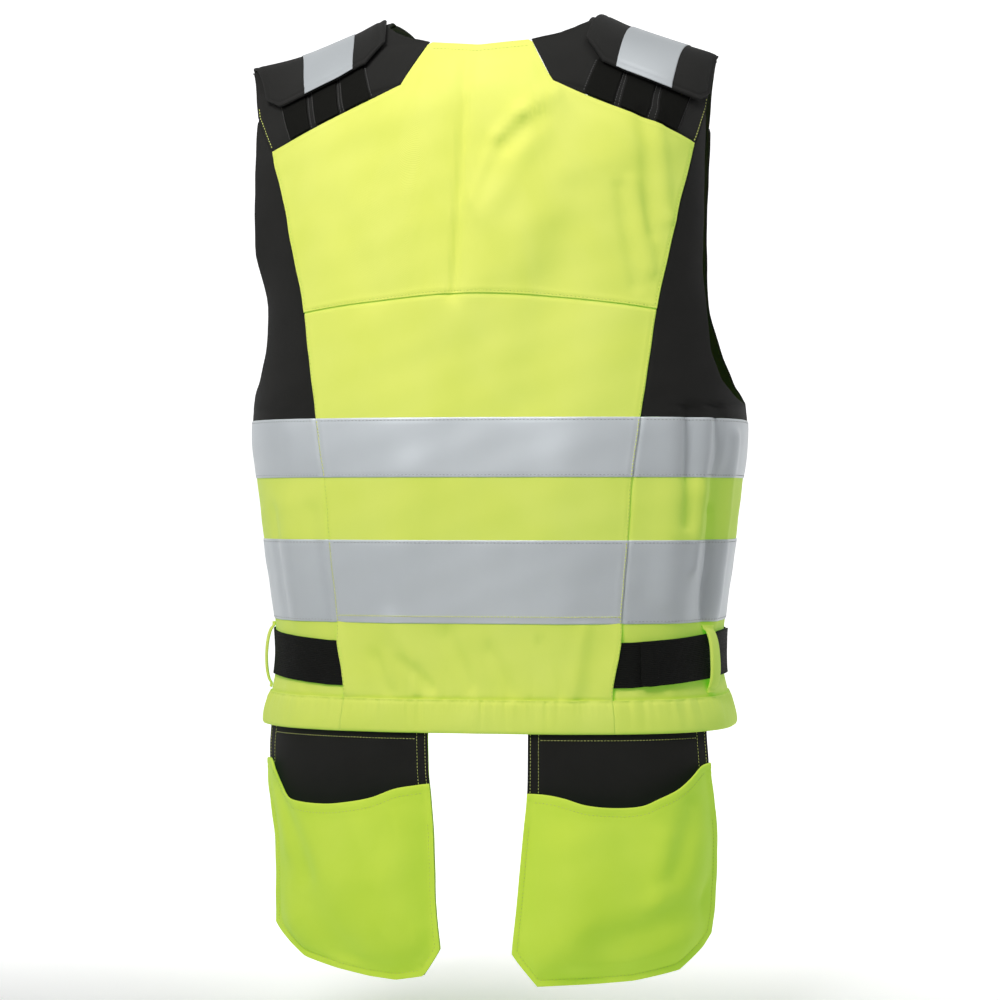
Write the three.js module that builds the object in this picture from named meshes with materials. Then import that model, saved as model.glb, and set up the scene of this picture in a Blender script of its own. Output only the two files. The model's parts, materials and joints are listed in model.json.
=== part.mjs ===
// High-visibility utility work vest, standing as worn. Millimetres, +Z up.
// The wearer's back faces -Y and the wearer's right is +X.
// The origin is midway between the shoulders, just above their neck ends.
import * as THREE from 'three';
import { mergeVertices } from 'three/addons/utils/BufferGeometryUtils.js';

// Body of the vest
const backLength = 622;
const chestHalfWidth = 217;
const chestHalfDepth = 135;
const sectionPower = 2.7;
const shoulderDrop = 49;
const shoulderRound = 105;
const ridgeBehindMiddle = 25;
const neckAngle = 37;
const tipAngle = 77;

// Walls and the gaps between sewn pieces
const clothWall = 2;
const tapeWall = 1;
const strapWall = 1.5;
const flapWall = 2.5;
const hemWall = 4;
const pocketWall = 1.5;
const layerGap = 0.3;
const seamGap = 0.6;

// Bands, waist and hem, measured upward from the hem
const hemHeight = 28;
const waistHeight = 63.5;
const lowerTapeWidth = 70;
const tapeSpacing = 52.5;
const upperTapeWidth = 50;
const strapWidth = 38;
const strapAboveHem = 10;
const loopWidth = 12;
const loopStandOff = 4;
const loopTuck = 3;

// Shoulder flaps
const flapLengthBack = 98;
const flapLengthFront = 60;
const flapLift = 2.4;
const flapRest = 1.8;
const flapSewn = 0.3;

// Pockets that hang from the hem
const pocketLength = 225;
const pocketTuck = 16;
const pouchDepth = 20;
const pocketSetIn = 1.1;

// Front opening
const zipWidth = 16;
const zipWall = 2;
const sliderLength = 22;
const sliderWidth = 10;
const sliderWall = 3;

// Heights as distances below the origin
const hemTop = backLength - hemHeight;
const lowerTapeBottom = hemTop - waistHeight;
const lowerTapeTop = lowerTapeBottom - lowerTapeWidth;
const upperTapeBottom = lowerTapeTop - tapeSpacing;
const upperTapeTop = upperTapeBottom - upperTapeWidth;
const strapBottom = hemTop - strapAboveHem;
const strapTop = strapBottom - strapWidth;
const pocketTop = backLength - pocketTuck;

// Body sections: down as a share of backLength, width and depth of the chest's
const bodySections = [
  { down: 0.0, width: 0.945, depth: 0.9 },
  { down: 0.15, width: 0.945, depth: 0.96 },
  { down: 0.3, width: 0.945, depth: 1.0 },
  { down: 0.42, width: 0.955, depth: 1.0 },
  { down: 0.555, width: 0.995, depth: 1.01 },
  { down: 0.6, width: 1.0, depth: 1.01 },
  { down: 0.66, width: 0.982, depth: 1.0 },
  { down: 0.74, width: 0.955, depth: 0.98 },
  { down: 0.86, width: 0.908, depth: 0.93 },
  { down: 0.93, width: 0.908, depth: 0.93 },
  { down: 1.0, width: 0.955, depth: 0.96 },
  { down: 1.15, width: 0.952, depth: 0.97 },
  { down: 1.35, width: 0.94, depth: 0.97 },
];

// Shoulder ridge: down as a share of shoulderDrop, angle from the middle of the back
const ridgeRows = [
  { angle: 0, down: -0.04 },
  { angle: 37, down: 0.19 },
  { angle: 47, down: 0.46 },
  { angle: 62, down: 0.81 },
  { angle: 77, down: 1.0 },
  { angle: 90, down: 1.07 },
];

// Seam beside the centre panel: down as a share of upperTapeTop above the upper
// tape, angle in degrees from the middle of the back
const upperSeam = [
  { down: 0.355, angle: 65.5 },
  { down: 0.488, angle: 60.5 },
  { down: 0.747, angle: 53.8 },
  { down: 1.0, angle: 49.0 },
];

// The same seam below the upper tape's top: down as a share of the way to the hem
const lowerSeam = [
  { down: 0.0, angle: 49.0 },
  { down: 0.22, angle: 47.4 },
  { down: 0.72, angle: 47.2 },
  { down: 0.8, angle: 47.6 },
  { down: 0.95, angle: 44.8 },
  { down: 1.0, angle: 44.6 },
];

// Edges above the upper tape, down as a share of upperTapeTop
const neckMiddle = { angle: 0, down: 0.12 };
const neckCorner = { angle: 19.3, down: 0.107 };
const neckRise = [
  { v: 0.18, angle: 36.6, down: 0.046 },
  { v: 0.3, angle: 33.0, down: 0.066 },
  { v: 0.42, angle: 28.0, down: 0.083 },
];
const yokeInner = { angle: 27, down: 0.216 };
const yokeOuter = { angle: 65.5, down: 0.355 };
const yokeArmhole = { angle: 71.1, down: 0.263 };
const curvedSeam = { middle: 0.712, ends: 0.748 };

// Black side panel: a row runs from the seam to the armhole
const sideBackRows = [
  { seam: 70.3, seamDown: 0.275, arm: 71.1, armDown: 0.266 },
  { seam: 65.8, seamDown: 0.357, arm: 70.8, armDown: 0.35 },
  { seam: 60.5, seamDown: 0.488, arm: 70.0, armDown: 0.515 },
  { seam: 55.5, seamDown: 0.68, arm: 68.4, armDown: 0.687 },
  { seam: 51.9, seamDown: 0.84, arm: 68.3, armDown: 0.84 },
  { seam: 50.6, seamDown: 0.92, arm: 71.4, armDown: 0.91 },
  { seam: 49.9, seamDown: 0.96, arm: 78.5, armDown: 0.95 },
  { seam: 49.4, seamDown: 0.985, arm: 89.9, armDown: 0.965 },
  { seam: 49.0, seamDown: 1.0, arm: 89.9, armDown: 1.0 },
];

// The same panel at the front, with angles from the middle of the front
const sideFrontRows = [
  { seam: 68.6, seamDown: 0.275, arm: 69.6, armDown: 0.266 },
  { seam: 64.0, seamDown: 0.357, arm: 67.8, armDown: 0.35 },
  { seam: 58.5, seamDown: 0.488, arm: 66.0, armDown: 0.515 },
  { seam: 53.5, seamDown: 0.68, arm: 66.0, armDown: 0.687 },
  { seam: 50.9, seamDown: 0.84, arm: 68.6, armDown: 0.84 },
  { seam: 50.0, seamDown: 0.92, arm: 72.4, armDown: 0.91 },
  { seam: 49.6, seamDown: 0.96, arm: 79.5, armDown: 0.95 },
  { seam: 49.2, seamDown: 0.985, arm: 89.9, armDown: 0.965 },
  { seam: 49.0, seamDown: 1.0, arm: 89.9, armDown: 1.0 },
];

// Front edges, with angles from the middle of the front
const frontNeckLow = { angle: 5, down: 0.42 };
const frontNeckSide = { angle: 15, down: 0.33 };
const frontYokeInner = { angle: 24, down: 0.25 };
const frontYokeOuter = { angle: 63.5, down: 0.355 };
const frontYokeArmhole = { angle: 69.0, down: 0.263 };

// Folds: a ridge or dent between two places, with down as a share of
// backLength, spread of chestHalfWidth and height of chestHalfDepth
const folds = [
  { angle: -4, down: 0.1, toAngle: -7, toDown: 0.41, spread: 0.04, height: -0.022 },
  { angle: 27, down: 0.15, toAngle: 4, toDown: 0.3, spread: 0.08, height: 0.03 },
  { angle: 48, down: 0.2, toAngle: -6, toDown: 0.42, spread: 0.16, height: 0.03 },
  { angle: 34, down: 0.28, toAngle: 22, toDown: 0.55, spread: 0.12, height: -0.025 },
  { angle: -36, down: 0.22, toAngle: -24, toDown: 0.5, spread: 0.14, height: -0.02 },
  { angle: -22, down: 0.66, toAngle: -30, toDown: 0.92, spread: 0.12, height: 0.02 },
  { angle: 26, down: 0.66, toAngle: 32, toDown: 0.92, spread: 0.12, height: 0.02 },
  { angle: 62, down: 0.68, toAngle: 60, toDown: 0.92, spread: 0.07, height: 0.03 },
  { angle: 72, down: 0.66, toAngle: 70, toDown: 0.9, spread: 0.06, height: -0.03 },
  { angle: -60, down: 0.7, toAngle: -62, toDown: 0.92, spread: 0.08, height: 0.025 },
  { angle: 150, down: 0.4, toAngle: 156, toDown: 0.85, spread: 0.14, height: 0.025 },
  { angle: -150, down: 0.42, toAngle: -155, toDown: 0.85, spread: 0.14, height: 0.025 },
  { angle: -80, down: 0.08, toAngle: -76, toDown: 0.34, spread: 0.15, height: 0.1 },
  { angle: 78, down: 0.1, toAngle: 76, toDown: 0.36, spread: 0.14, height: -0.045 },
];

// Gathers above the hem: how deep they are and how far up from the hem they fade
const gatherDepth = 1.6;
const gatherRise = 46;
const gatherCount = 24;

// Pocket outline: down as a share of pocketLength, angles of the two side edges
const pocketRows = [
  { down: 0.0, inner: 19.5, left: 70.5, right: 69.5 },
  { down: 0.2, inner: 18.8, left: 71.2, right: 69.8 },
  { down: 0.33, inner: 17.6, left: 71.4, right: 72.0 },
  { down: 0.5, inner: 16.6, left: 70.4, right: 73.4 },
  { down: 0.7, inner: 15.0, left: 68.2, right: 73.4 },
  { down: 0.86, inner: 13.4, left: 66.4, right: 72.0 },
  { down: 1.0, inner: 13.2, left: 65.4, right: 70.6 },
];

// Pocket ends across its width: lower edge and mouth as shares of pocketLength
const pocketColumns = [
  { across: 0.0, bottom: 0.88, mouthLeft: 0.258, mouthRight: 0.289, bulge: 0.0 },
  { across: 0.14, bottom: 0.995, mouthLeft: 0.262, mouthRight: 0.3, bulge: 0.62 },
  { across: 0.32, bottom: 1.0, mouthLeft: 0.285, mouthRight: 0.325, bulge: 0.92 },
  { across: 0.5, bottom: 0.99, mouthLeft: 0.322, mouthRight: 0.338, bulge: 1.0 },
  { across: 0.68, bottom: 0.968, mouthLeft: 0.338, mouthRight: 0.322, bulge: 0.92 },
  { across: 0.84, bottom: 0.935, mouthLeft: 0.298, mouthRight: 0.248, bulge: 0.62 },
  { across: 1.0, bottom: 0.82, mouthLeft: 0.198, mouthRight: 0.194, bulge: 0.0 },
];

// Pouch down its length: how far it stands off its backing, as a share of pouchDepth
const pouchRows = [
  { along: 0.0, stand: 0.62 },
  { along: 0.18, stand: 0.84 },
  { along: 0.42, stand: 1.0 },
  { along: 0.66, stand: 0.96 },
  { along: 0.88, stand: 0.62 },
  { along: 1.0, stand: 0.0 },
];

// Flap: how much of its length each column reaches at the back
const flapColumns = [
  { across: 0.0, reach: 0.8 },
  { across: 0.13, reach: 1.0 },
  { across: 0.23, reach: 1.0 },
  { across: 0.43, reach: 1.0 },
  { across: 0.63, reach: 1.0 },
  { across: 0.85, reach: 1.0 },
  { across: 1.0, reach: 0.88 },
];
const patchFrom = 2;
const patchTo = 4;
const flapInner = { ridge: 39.5, end: 37.5 };
const flapOuter = { ridge: 76.5, end: 71.0 };

// Loop-tape strips across the yoke
const loopStrips = [
  { from: 0.28, to: 0.45 },
  { from: 0.49, to: 0.65 },
  { from: 0.69, to: 0.85 },
];
const loopStripEnd = 0.985;

// Where the belt loop, the strap's tongue and the strap's end lie, in degrees
const loopAngle = 75.4;
const tongueAngle = 52.2;
const tongueEndAngle = 97;
const strapEndAngle = 118;
const hemSeamAngle = 44.6;

// Further columns of the lower side panel between those pieces, in degrees
const sideSteps = [60, 67, 83, 90, 104, 111, 124.5];

const radians = Math.PI / 180;
const colours = {
  yellow: { color: 0xdcec50, roughness: 0.8, metalness: 0 },
  black: { color: 0x242422, roughness: 0.85, metalness: 0 },
  tape: { color: 0xb6bec6, roughness: 0.5, metalness: 0.1 },
  elastic: { color: 0x0c0e0a, roughness: 0.9, metalness: 0 },
  zip: { color: 0x1c1c1c, roughness: 0.6, metalness: 0 },
};

const mix = (from, to, share) => from + (to - from) * share;
const clamp = (value, low, high) => Math.min(high, Math.max(low, value));

// A table's column read at a key by straight lines between its rows
function linear(rows, key, at, column) {
  if (at <= rows[0][key]) return rows[0][column];
  for (let i = 1; i < rows.length; i += 1) {
    if (at <= rows[i][key]) {
      const share = (at - rows[i - 1][key]) / (rows[i][key] - rows[i - 1][key]);
      return mix(rows[i - 1][column], rows[i][column], share);
    }
  }
  return rows[rows.length - 1][column];
}

// The same column read with a smooth curve through its rows
function smooth(rows, key, at, column) {
  const last = rows.length - 1;
  const place = clamp(at, rows[0][key], rows[last][key]);
  let i = 0;
  while (i < last - 1 && place > rows[i + 1][key]) i += 1;
  const slope = (k) => {
    const before = rows[Math.max(k - 1, 0)];
    const after = rows[Math.min(k + 1, last)];
    return (after[column] - before[column]) / (after[key] - before[key]);
  };
  const span = rows[i + 1][key] - rows[i][key];
  const t = (place - rows[i][key]) / span;
  const rise = t * t * (3 - 2 * t);
  const start = t * (1 - t) * (1 - t) * span * slope(i);
  const end = t * t * (t - 1) * span * slope(i + 1);
  return mix(rows[i][column], rows[i + 1][column], rise) + start + end;
}

// Distance of the rounded body section from the middle axis
function sectionRadius(angle, down) {
  const halfWidth = chestHalfWidth * smooth(bodySections, 'down', down / backLength, 'width');
  const halfDepth = chestHalfDepth * smooth(bodySections, 'down', down / backLength, 'depth');
  const acrossPart = Math.abs(Math.sin(angle * radians) / halfWidth) ** sectionPower;
  const depthPart = Math.abs(Math.cos(angle * radians) / halfDepth) ** sectionPower;
  return (acrossPart + depthPart) ** (-1 / sectionPower);
}

// How far the shoulder ridge lies below the origin at an angle
function ridgeDown(angle) {
  const turned = Math.abs(angle) < 90 ? Math.abs(angle) : 180 - Math.abs(angle);
  return shoulderDrop * smooth(ridgeRows, 'angle', turned, 'down');
}

// Length run down the cloth from the ridge to a height, and the height it reaches
function runAt(angle, down) {
  const drop = down - ridgeDown(angle);
  if (drop >= shoulderRound) return shoulderRound * (Math.PI / 2 - 1) + drop;
  return shoulderRound * Math.acos(1 - Math.max(drop, 0) / shoulderRound);
}

function dropAt(run) {
  if (run >= shoulderRound * Math.PI / 2) return run - shoulderRound * (Math.PI / 2 - 1);
  return shoulderRound * (1 - Math.cos(run / shoulderRound));
}

// Height of the folds and gathers over the smooth body
function foldHeight(angle, down) {
  const arc = (chestHalfWidth + chestHalfDepth) / 2 * radians;
  let height = 0;
  for (const fold of folds) {
    const startX = fold.angle * arc;
    const startY = fold.down * backLength;
    const lengthX = fold.toAngle * arc - startX;
    const lengthY = fold.toDown * backLength - startY;
    const alongX = angle * arc - startX;
    const alongY = down - startY;
    const squared = lengthX * lengthX + lengthY * lengthY;
    const share = clamp((alongX * lengthX + alongY * lengthY) / squared, 0, 1);
    const away = Math.hypot(alongX - share * lengthX, alongY - share * lengthY);
    const spread = fold.spread * chestHalfWidth;
    height += fold.height * chestHalfDepth * Math.exp(-((away / spread) ** 2));
  }
  const nearHem = clamp(1 - Math.abs(down - hemTop) / gatherRise, 0, 1);
  height += gatherDepth * nearHem * Math.cos(angle * radians * gatherCount);
  return height;
}

// The cloth's outer surface: angle around the body, run down from the ridge.
// A run below zero is on the other side of the shoulder ridge.
function surfacePoint(angle, run) {
  const over = run < 0;
  const turned = over ? Math.sign(angle || 1) * (180 - Math.abs(angle)) : angle;
  const length = Math.abs(run);
  const down = ridgeDown(turned) + dropAt(length);
  const radius = sectionRadius(turned, down) + foldHeight(turned, down);
  const reach = Math.sin(Math.min(length / shoulderRound, Math.PI / 2));
  const depth = -radius * Math.cos(turned * radians);
  const y = mix(-ridgeBehindMiddle, depth, reach);
  return new THREE.Vector3(radius * Math.sin(turned * radians), y, -down);
}

function surfaceNormal(angle, run) {
  const turn = 0.4;
  const step = 1.2;
  const across = surfacePoint(angle + turn, run).sub(surfacePoint(angle - turn, run));
  const downward = surfacePoint(angle, run + step).sub(surfacePoint(angle, run - step));
  return downward.cross(across).normalize();
}

// A closed sheet of cloth. place(u, v) gives its angle and run, and inner and
// outer give its two faces as offsets from the body surface.
function sheet(name, finish, place, columns, rows, inner, outer) {
  const wide = columns.length;
  const tall = rows.length;
  const offsetOf = (offset, u, v) => (typeof offset === 'function' ? offset(u, v) : offset);
  const positions = [];
  for (const face of [outer, inner]) {
    for (const v of rows) {
      for (const u of columns) {
        const spot = place(u, v);
        const point = surfacePoint(spot.angle, spot.run);
        const normal = surfaceNormal(spot.angle, spot.run);
        point.addScaledVector(normal, offsetOf(face, u, v));
        positions.push(point.x, point.y, point.z);
      }
    }
  }
  const index = [];
  const at = (face, row, column) => (face * tall + row) * wide + column;
  const quad = (a, b, c, d) => index.push(a, b, c, a, c, d);
  for (let row = 0; row < tall - 1; row += 1) {
    for (let column = 0; column < wide - 1; column += 1) {
      const near = [at(0, row, column), at(0, row, column + 1)];
      const far = [at(0, row + 1, column), at(0, row + 1, column + 1)];
      quad(near[0], far[0], far[1], near[1]);
      const nearIn = [at(1, row, column), at(1, row, column + 1)];
      const farIn = [at(1, row + 1, column), at(1, row + 1, column + 1)];
      index.push(nearIn[0], farIn[1], farIn[0], nearIn[0], nearIn[1], farIn[1]);
    }
  }
  for (let column = 0; column < wide - 1; column += 1) {
    const end = tall - 1;
    quad(at(0, 0, column), at(0, 0, column + 1), at(1, 0, column + 1), at(1, 0, column));
    quad(at(0, end, column), at(1, end, column), at(1, end, column + 1), at(0, end, column + 1));
  }
  for (let row = 0; row < tall - 1; row += 1) {
    const end = wide - 1;
    quad(at(0, row, 0), at(1, row, 0), at(1, row + 1, 0), at(0, row + 1, 0));
    quad(at(0, row, end), at(0, row + 1, end), at(1, row + 1, end), at(1, row, end));
  }
  const geometry = new THREE.BufferGeometry();
  geometry.setAttribute('position', new THREE.Float32BufferAttribute(positions, 3));
  geometry.setIndex(index);
  return mesh(name, finish, outward(mergeVertices(geometry, 1e-4)));
}

// Turns a closed geometry's faces to point out of it
function outward(geometry) {
  const points = geometry.getAttribute('position');
  const index = Array.from(geometry.getIndex().array);
  const corner = (i) => new THREE.Vector3().fromBufferAttribute(points, index[i]);
  let volume = 0;
  for (let i = 0; i < index.length; i += 3) {
    volume += corner(i).dot(corner(i + 1).cross(corner(i + 2)));
  }
  if (volume < 0) {
    for (let i = 0; i < index.length; i += 3) {
      [index[i + 1], index[i + 2]] = [index[i + 2], index[i + 1]];
    }
  }
  geometry.setIndex(index);
  geometry.computeVertexNormals();
  return geometry;
}

function mesh(name, finish, geometry) {
  const made = new THREE.Mesh(geometry, new THREE.MeshStandardMaterial(colours[finish]));
  made.name = name;
  return made;
}

const spread = (from, to, count) => {
  const values = [];
  for (let i = 0; i <= count; i += 1) values.push(mix(from, to, i / count));
  return values;
};

const vest = new THREE.Group();
const sides = [
  { name: 'left', sign: -1 },
  { name: 'right', sign: 1 },
];

// A gap in degrees for a gap in millimetres at the body's sides
const gapAngle = seamGap / 2 / (chestHalfDepth * radians);

// The seam's angle at a height
function seamAngle(down) {
  if (down <= upperTapeTop) return linear(upperSeam, 'down', down / upperTapeTop, 'angle');
  const share = (down - upperTapeTop) / (hemTop - upperTapeTop);
  return linear(lowerSeam, 'down', share, 'angle');
}

// Height of the curved seam across the back
function curvedSeamDown(angle) {
  const share = (Math.abs(angle) / seamAngle(curvedSeam.ends * upperTapeTop)) ** 2;
  return upperTapeTop * mix(curvedSeam.middle, curvedSeam.ends, share);
}

const spotAt = (angle, down) => ({ angle, run: runAt(angle, down) });

// Rows that the panels and the tapes on them share
const bandRows = [
  upperTapeTop,
  mix(upperTapeTop, upperTapeBottom, 0.5),
  upperTapeBottom,
  mix(upperTapeBottom, lowerTapeTop, 0.5),
  lowerTapeTop,
  mix(lowerTapeTop, lowerTapeBottom, 0.5),
  lowerTapeBottom,
];
const waistRows = [
  lowerTapeBottom,
  mix(lowerTapeBottom, strapTop, 0.5),
  strapTop,
  mix(strapTop, strapBottom, 0.5),
  strapBottom,
  hemTop - seamGap / 2,
];
const upperTapeRows = bandRows.slice(0, 3);
const lowerTapeRows = bandRows.slice(4, 7);

// Back yoke panel, from the neck edge and black yokes down to the curved seam
const backYokeTop = [neckMiddle, neckCorner, yokeInner, yokeOuter].map((corner) => ({
  angle: Math.max(corner.angle - gapAngle * 2, 0),
  down: corner.down * upperTapeTop + (corner.angle > neckCorner.angle ? seamGap : 0),
}));

function backYokePlace(u, v) {
  let angle = u * yokeOuter.angle;
  let down = upperTapeTop * curvedSeam.middle;
  for (let pass = 0; pass < 8; pass += 1) {
    const top = linear(backYokeTop, 'angle', Math.abs(angle), 'down');
    down = mix(top, curvedSeamDown(angle) - seamGap / 2, v);
    const edge = Math.min(seamAngle(down), yokeOuter.angle) - gapAngle;
    angle = u * edge;
  }
  return spotAt(angle, down);
}

const cornerShare = (corner) => (corner.angle - gapAngle * 2) / (yokeOuter.angle - gapAngle);
const yokeCorners = [cornerShare(neckCorner), cornerShare(yokeInner)];
const yokeShares = [0.04, 0.12, 0.21, ...yokeCorners, 0.56, 0.7, 0.85, 1];
const backYokeColumns = [...yokeShares.map((share) => -share).reverse(), ...yokeShares];
const backYokeRows = [0, 0.12, 0.335, 0.5, 0.67, 0.826, 1];
const backYoke = ['back_yoke', 'yellow', backYokePlace, backYokeColumns, backYokeRows];
vest.add(sheet(...backYoke, -clothWall, 0));

// Back centre panel, from the curved seam to the hem
function backCentrePlace(u, row) {
  const top = upperTapeTop * curvedSeam.middle;
  const fade = clamp((upperTapeTop - row) / (upperTapeTop - top), 0, 1);
  let angle = u * seamAngle(row);
  let down = row;
  for (let pass = 0; pass < 6; pass += 1) {
    down = row + (curvedSeamDown(angle) - top + seamGap / 2) * fade;
    angle = u * (seamAngle(down) - gapAngle);
  }
  return spotAt(angle, down);
}

const centreColumns = spread(-1, 1, 16);
const bodiceRows = spread(upperTapeTop * curvedSeam.middle, upperTapeTop, 3);
const centreRows = [...bodiceRows, ...bandRows.slice(1), ...waistRows.slice(1)];
const backCentre = ['back_centre', 'yellow', backCentrePlace, centreColumns, centreRows];
vest.add(sheet(...backCentre, -clothWall, 0));

// Side panels in black, and yellow side panels below them
function rowsPlace(rows, sign, front) {
  return (u, v) => {
    const seam = linear(rows, 'index', v, 'seam') + gapAngle;
    const arm = linear(rows, 'index', v, 'arm');
    const angle = mix(seam, arm, u);
    const seamDown = linear(rows, 'index', v, 'seamDown');
    const shareDown = mix(seamDown, linear(rows, 'index', v, 'armDown'), u);
    const turned = front ? 180 - angle : angle;
    return spotAt(sign * turned, shareDown * (upperTapeTop - seamGap / 2));
  };
}

const indexed = (rows) => rows.map((row, index) => ({ ...row, index }));
const sideStart = seamAngle(strapTop) + gapAngle;
const sideShare = (angle) => (angle - sideStart) / (180 - 2 * sideStart);
const waistRadius = chestHalfWidth * smooth(bodySections, 'down', strapTop / backLength, 'width');
const halfLoopAngle = loopWidth / 2 / (waistRadius * radians);
const loopAngles = [loopAngle - halfLoopAngle, loopAngle + halfLoopAngle];
const sideAngles = [tongueAngle, ...loopAngles, tongueEndAngle, strapEndAngle, ...sideSteps];
const lowerSideColumns = [0, ...sideAngles.map(sideShare), 1].sort((a, b) => a - b);
const columnNear = (angle) => {
  const gaps = lowerSideColumns.map((column) => Math.abs(column - sideShare(angle)));
  return gaps.indexOf(Math.min(...gaps));
};

for (const side of sides) {
  const { name, sign } = side;
  const backPlace = rowsPlace(indexed(sideBackRows), sign, false);
  const frontPlace = rowsPlace(indexed(sideFrontRows), sign, true);
  const panelRows = spread(0, sideBackRows.length - 1, sideBackRows.length - 1);
  const panelColumns = spread(0, 1, 4);
  const backWall = [`side_panel_back_${name}`, 'black', backPlace];
  const frontWall = [`side_panel_front_${name}`, 'black', frontPlace];
  vest.add(sheet(...backWall, panelColumns, panelRows, -clothWall, 0));
  vest.add(sheet(...frontWall, panelColumns, panelRows, -clothWall, 0));

  const lowerPlace = (u, row) => {
    const start = seamAngle(row) + gapAngle;
    return spotAt(sign * mix(start, 180 - start, u), row);
  };
  const lowerRows = [...bandRows, ...waistRows.slice(1)];
  const lower = [`side_lower_${name}`, 'yellow', lowerPlace, lowerSideColumns];
  vest.add(sheet(...lower, lowerRows, -clothWall, 0));

  const upper = [`tape_upper_side_${name}`, 'tape', lowerPlace, lowerSideColumns];
  vest.add(sheet(...upper, upperTapeRows, layerGap, layerGap + tapeWall));
  const lowerTape = [`tape_lower_side_${name}`, 'tape', lowerPlace, lowerSideColumns];
  vest.add(sheet(...lowerTape, lowerTapeRows, layerGap, layerGap + tapeWall));

  // Elastic strap, its tongue and the belt loop that holds it
  const strapRows = waistRows.slice(2, 5);
  const strapFace = layerGap + strapWall;
  const strapColumns = lowerSideColumns.slice(0, columnNear(strapEndAngle) + 1);
  const strap = [`waist_strap_${name}`, 'elastic', lowerPlace, strapColumns, strapRows];
  vest.add(sheet(...strap, layerGap, strapFace));
  const tongueFace = strapFace + layerGap + strapWall;
  if (name === 'right') {
    const from = columnNear(tongueAngle);
    const to = columnNear(tongueEndAngle);
    const tongueColumns = lowerSideColumns.slice(from, to + 1);
    const tongue = ['strap_tongue_right', 'elastic', lowerPlace, tongueColumns, strapRows];
    vest.add(sheet(...tongue, strapFace + layerGap, tongueFace));
  }
  const loopRows = [
    lowerTapeBottom + loopTuck,
    strapTop - loopTuck,
    strapTop + strapWidth * 0.2,
    strapBottom - strapWidth * 0.2,
    strapBottom + loopTuck,
    hemTop - loopTuck,
  ];
  const arch = (u, row) => {
    const atEnd = row === loopRows[0] || row === loopRows[loopRows.length - 1];
    const atTurn = row === loopRows[1] || row === loopRows[4];
    if (atEnd) return layerGap;
    return tongueFace + (atTurn ? layerGap : loopStandOff);
  };
  const archOuter = (u, row) => arch(u, row) + strapWall;
  const loopFrom = columnNear(loopAngles[0]);
  const loopColumns = lowerSideColumns.slice(loopFrom, loopFrom + 2);
  const loop = [`belt_loop_${name}`, 'yellow', lowerPlace, loopColumns, loopRows];
  vest.add(sheet(...loop, arch, archOuter));
}

// Tapes across the back centre panel
const backTape = (name, rows) => {
  const face = [name, 'tape', backCentrePlace, centreColumns, rows];
  vest.add(sheet(...face, layerGap, layerGap + tapeWall));
};
backTape('tape_upper_back', upperTapeRows);
backTape('tape_lower_back', lowerTapeRows);

// Shoulder pieces, loop strips and flaps, from the ridge down
function shoulderPlace(corners, sign, front) {
  const { inner, outer } = corners;
  return (u, v) => {
    const from = { angle: linear(inner, 'v', v, 'angle'), run: linear(inner, 'v', v, 'run') };
    const to = { angle: linear(outer, 'v', v, 'angle'), run: linear(outer, 'v', v, 'run') };
    const angle = mix(from.angle, to.angle, u);
    const run = mix(from.run, to.run, u);
    return { angle: sign * (front ? 180 - angle : angle), run };
  };
}

const cornerAt = (v, corner) => {
  const down = corner.down * upperTapeTop;
  return { v, angle: corner.angle, run: runAt(corner.angle, down) };
};
const ridgeStart = { v: 0, run: seamGap / 2 };
const backShoulder = {
  inner: [
    { ...ridgeStart, angle: neckAngle },
    ...neckRise.map((corner) => cornerAt(corner.v, corner)),
    cornerAt(0.5, neckCorner),
    cornerAt(1, yokeInner),
  ],
  outer: [{ ...ridgeStart, angle: tipAngle }, cornerAt(0.7, yokeArmhole), cornerAt(1, yokeOuter)],
};
const frontShoulder = {
  inner: [{ ...ridgeStart, angle: neckAngle }, cornerAt(1, frontYokeInner)],
  outer: [
    { ...ridgeStart, angle: tipAngle },
    cornerAt(0.7, frontYokeArmhole),
    cornerAt(1, frontYokeOuter),
  ],
};
const stripColumns = loopStrips.flatMap((strip) => [strip.from, strip.to]);
const shoulderColumns = [0, 0.14, ...stripColumns, 1];
const shoulderTopRows = [0, 0.09, ...neckRise.map((corner) => corner.v)];
const shoulderRows = [...shoulderTopRows, 0.5, 0.7, 0.85, loopStripEnd, 1];
const stripRows = shoulderRows.slice(4, -1);
const frontShoulderRows = [0, 0.2, 0.4, 0.55, 0.7, 0.85, 1];

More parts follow.
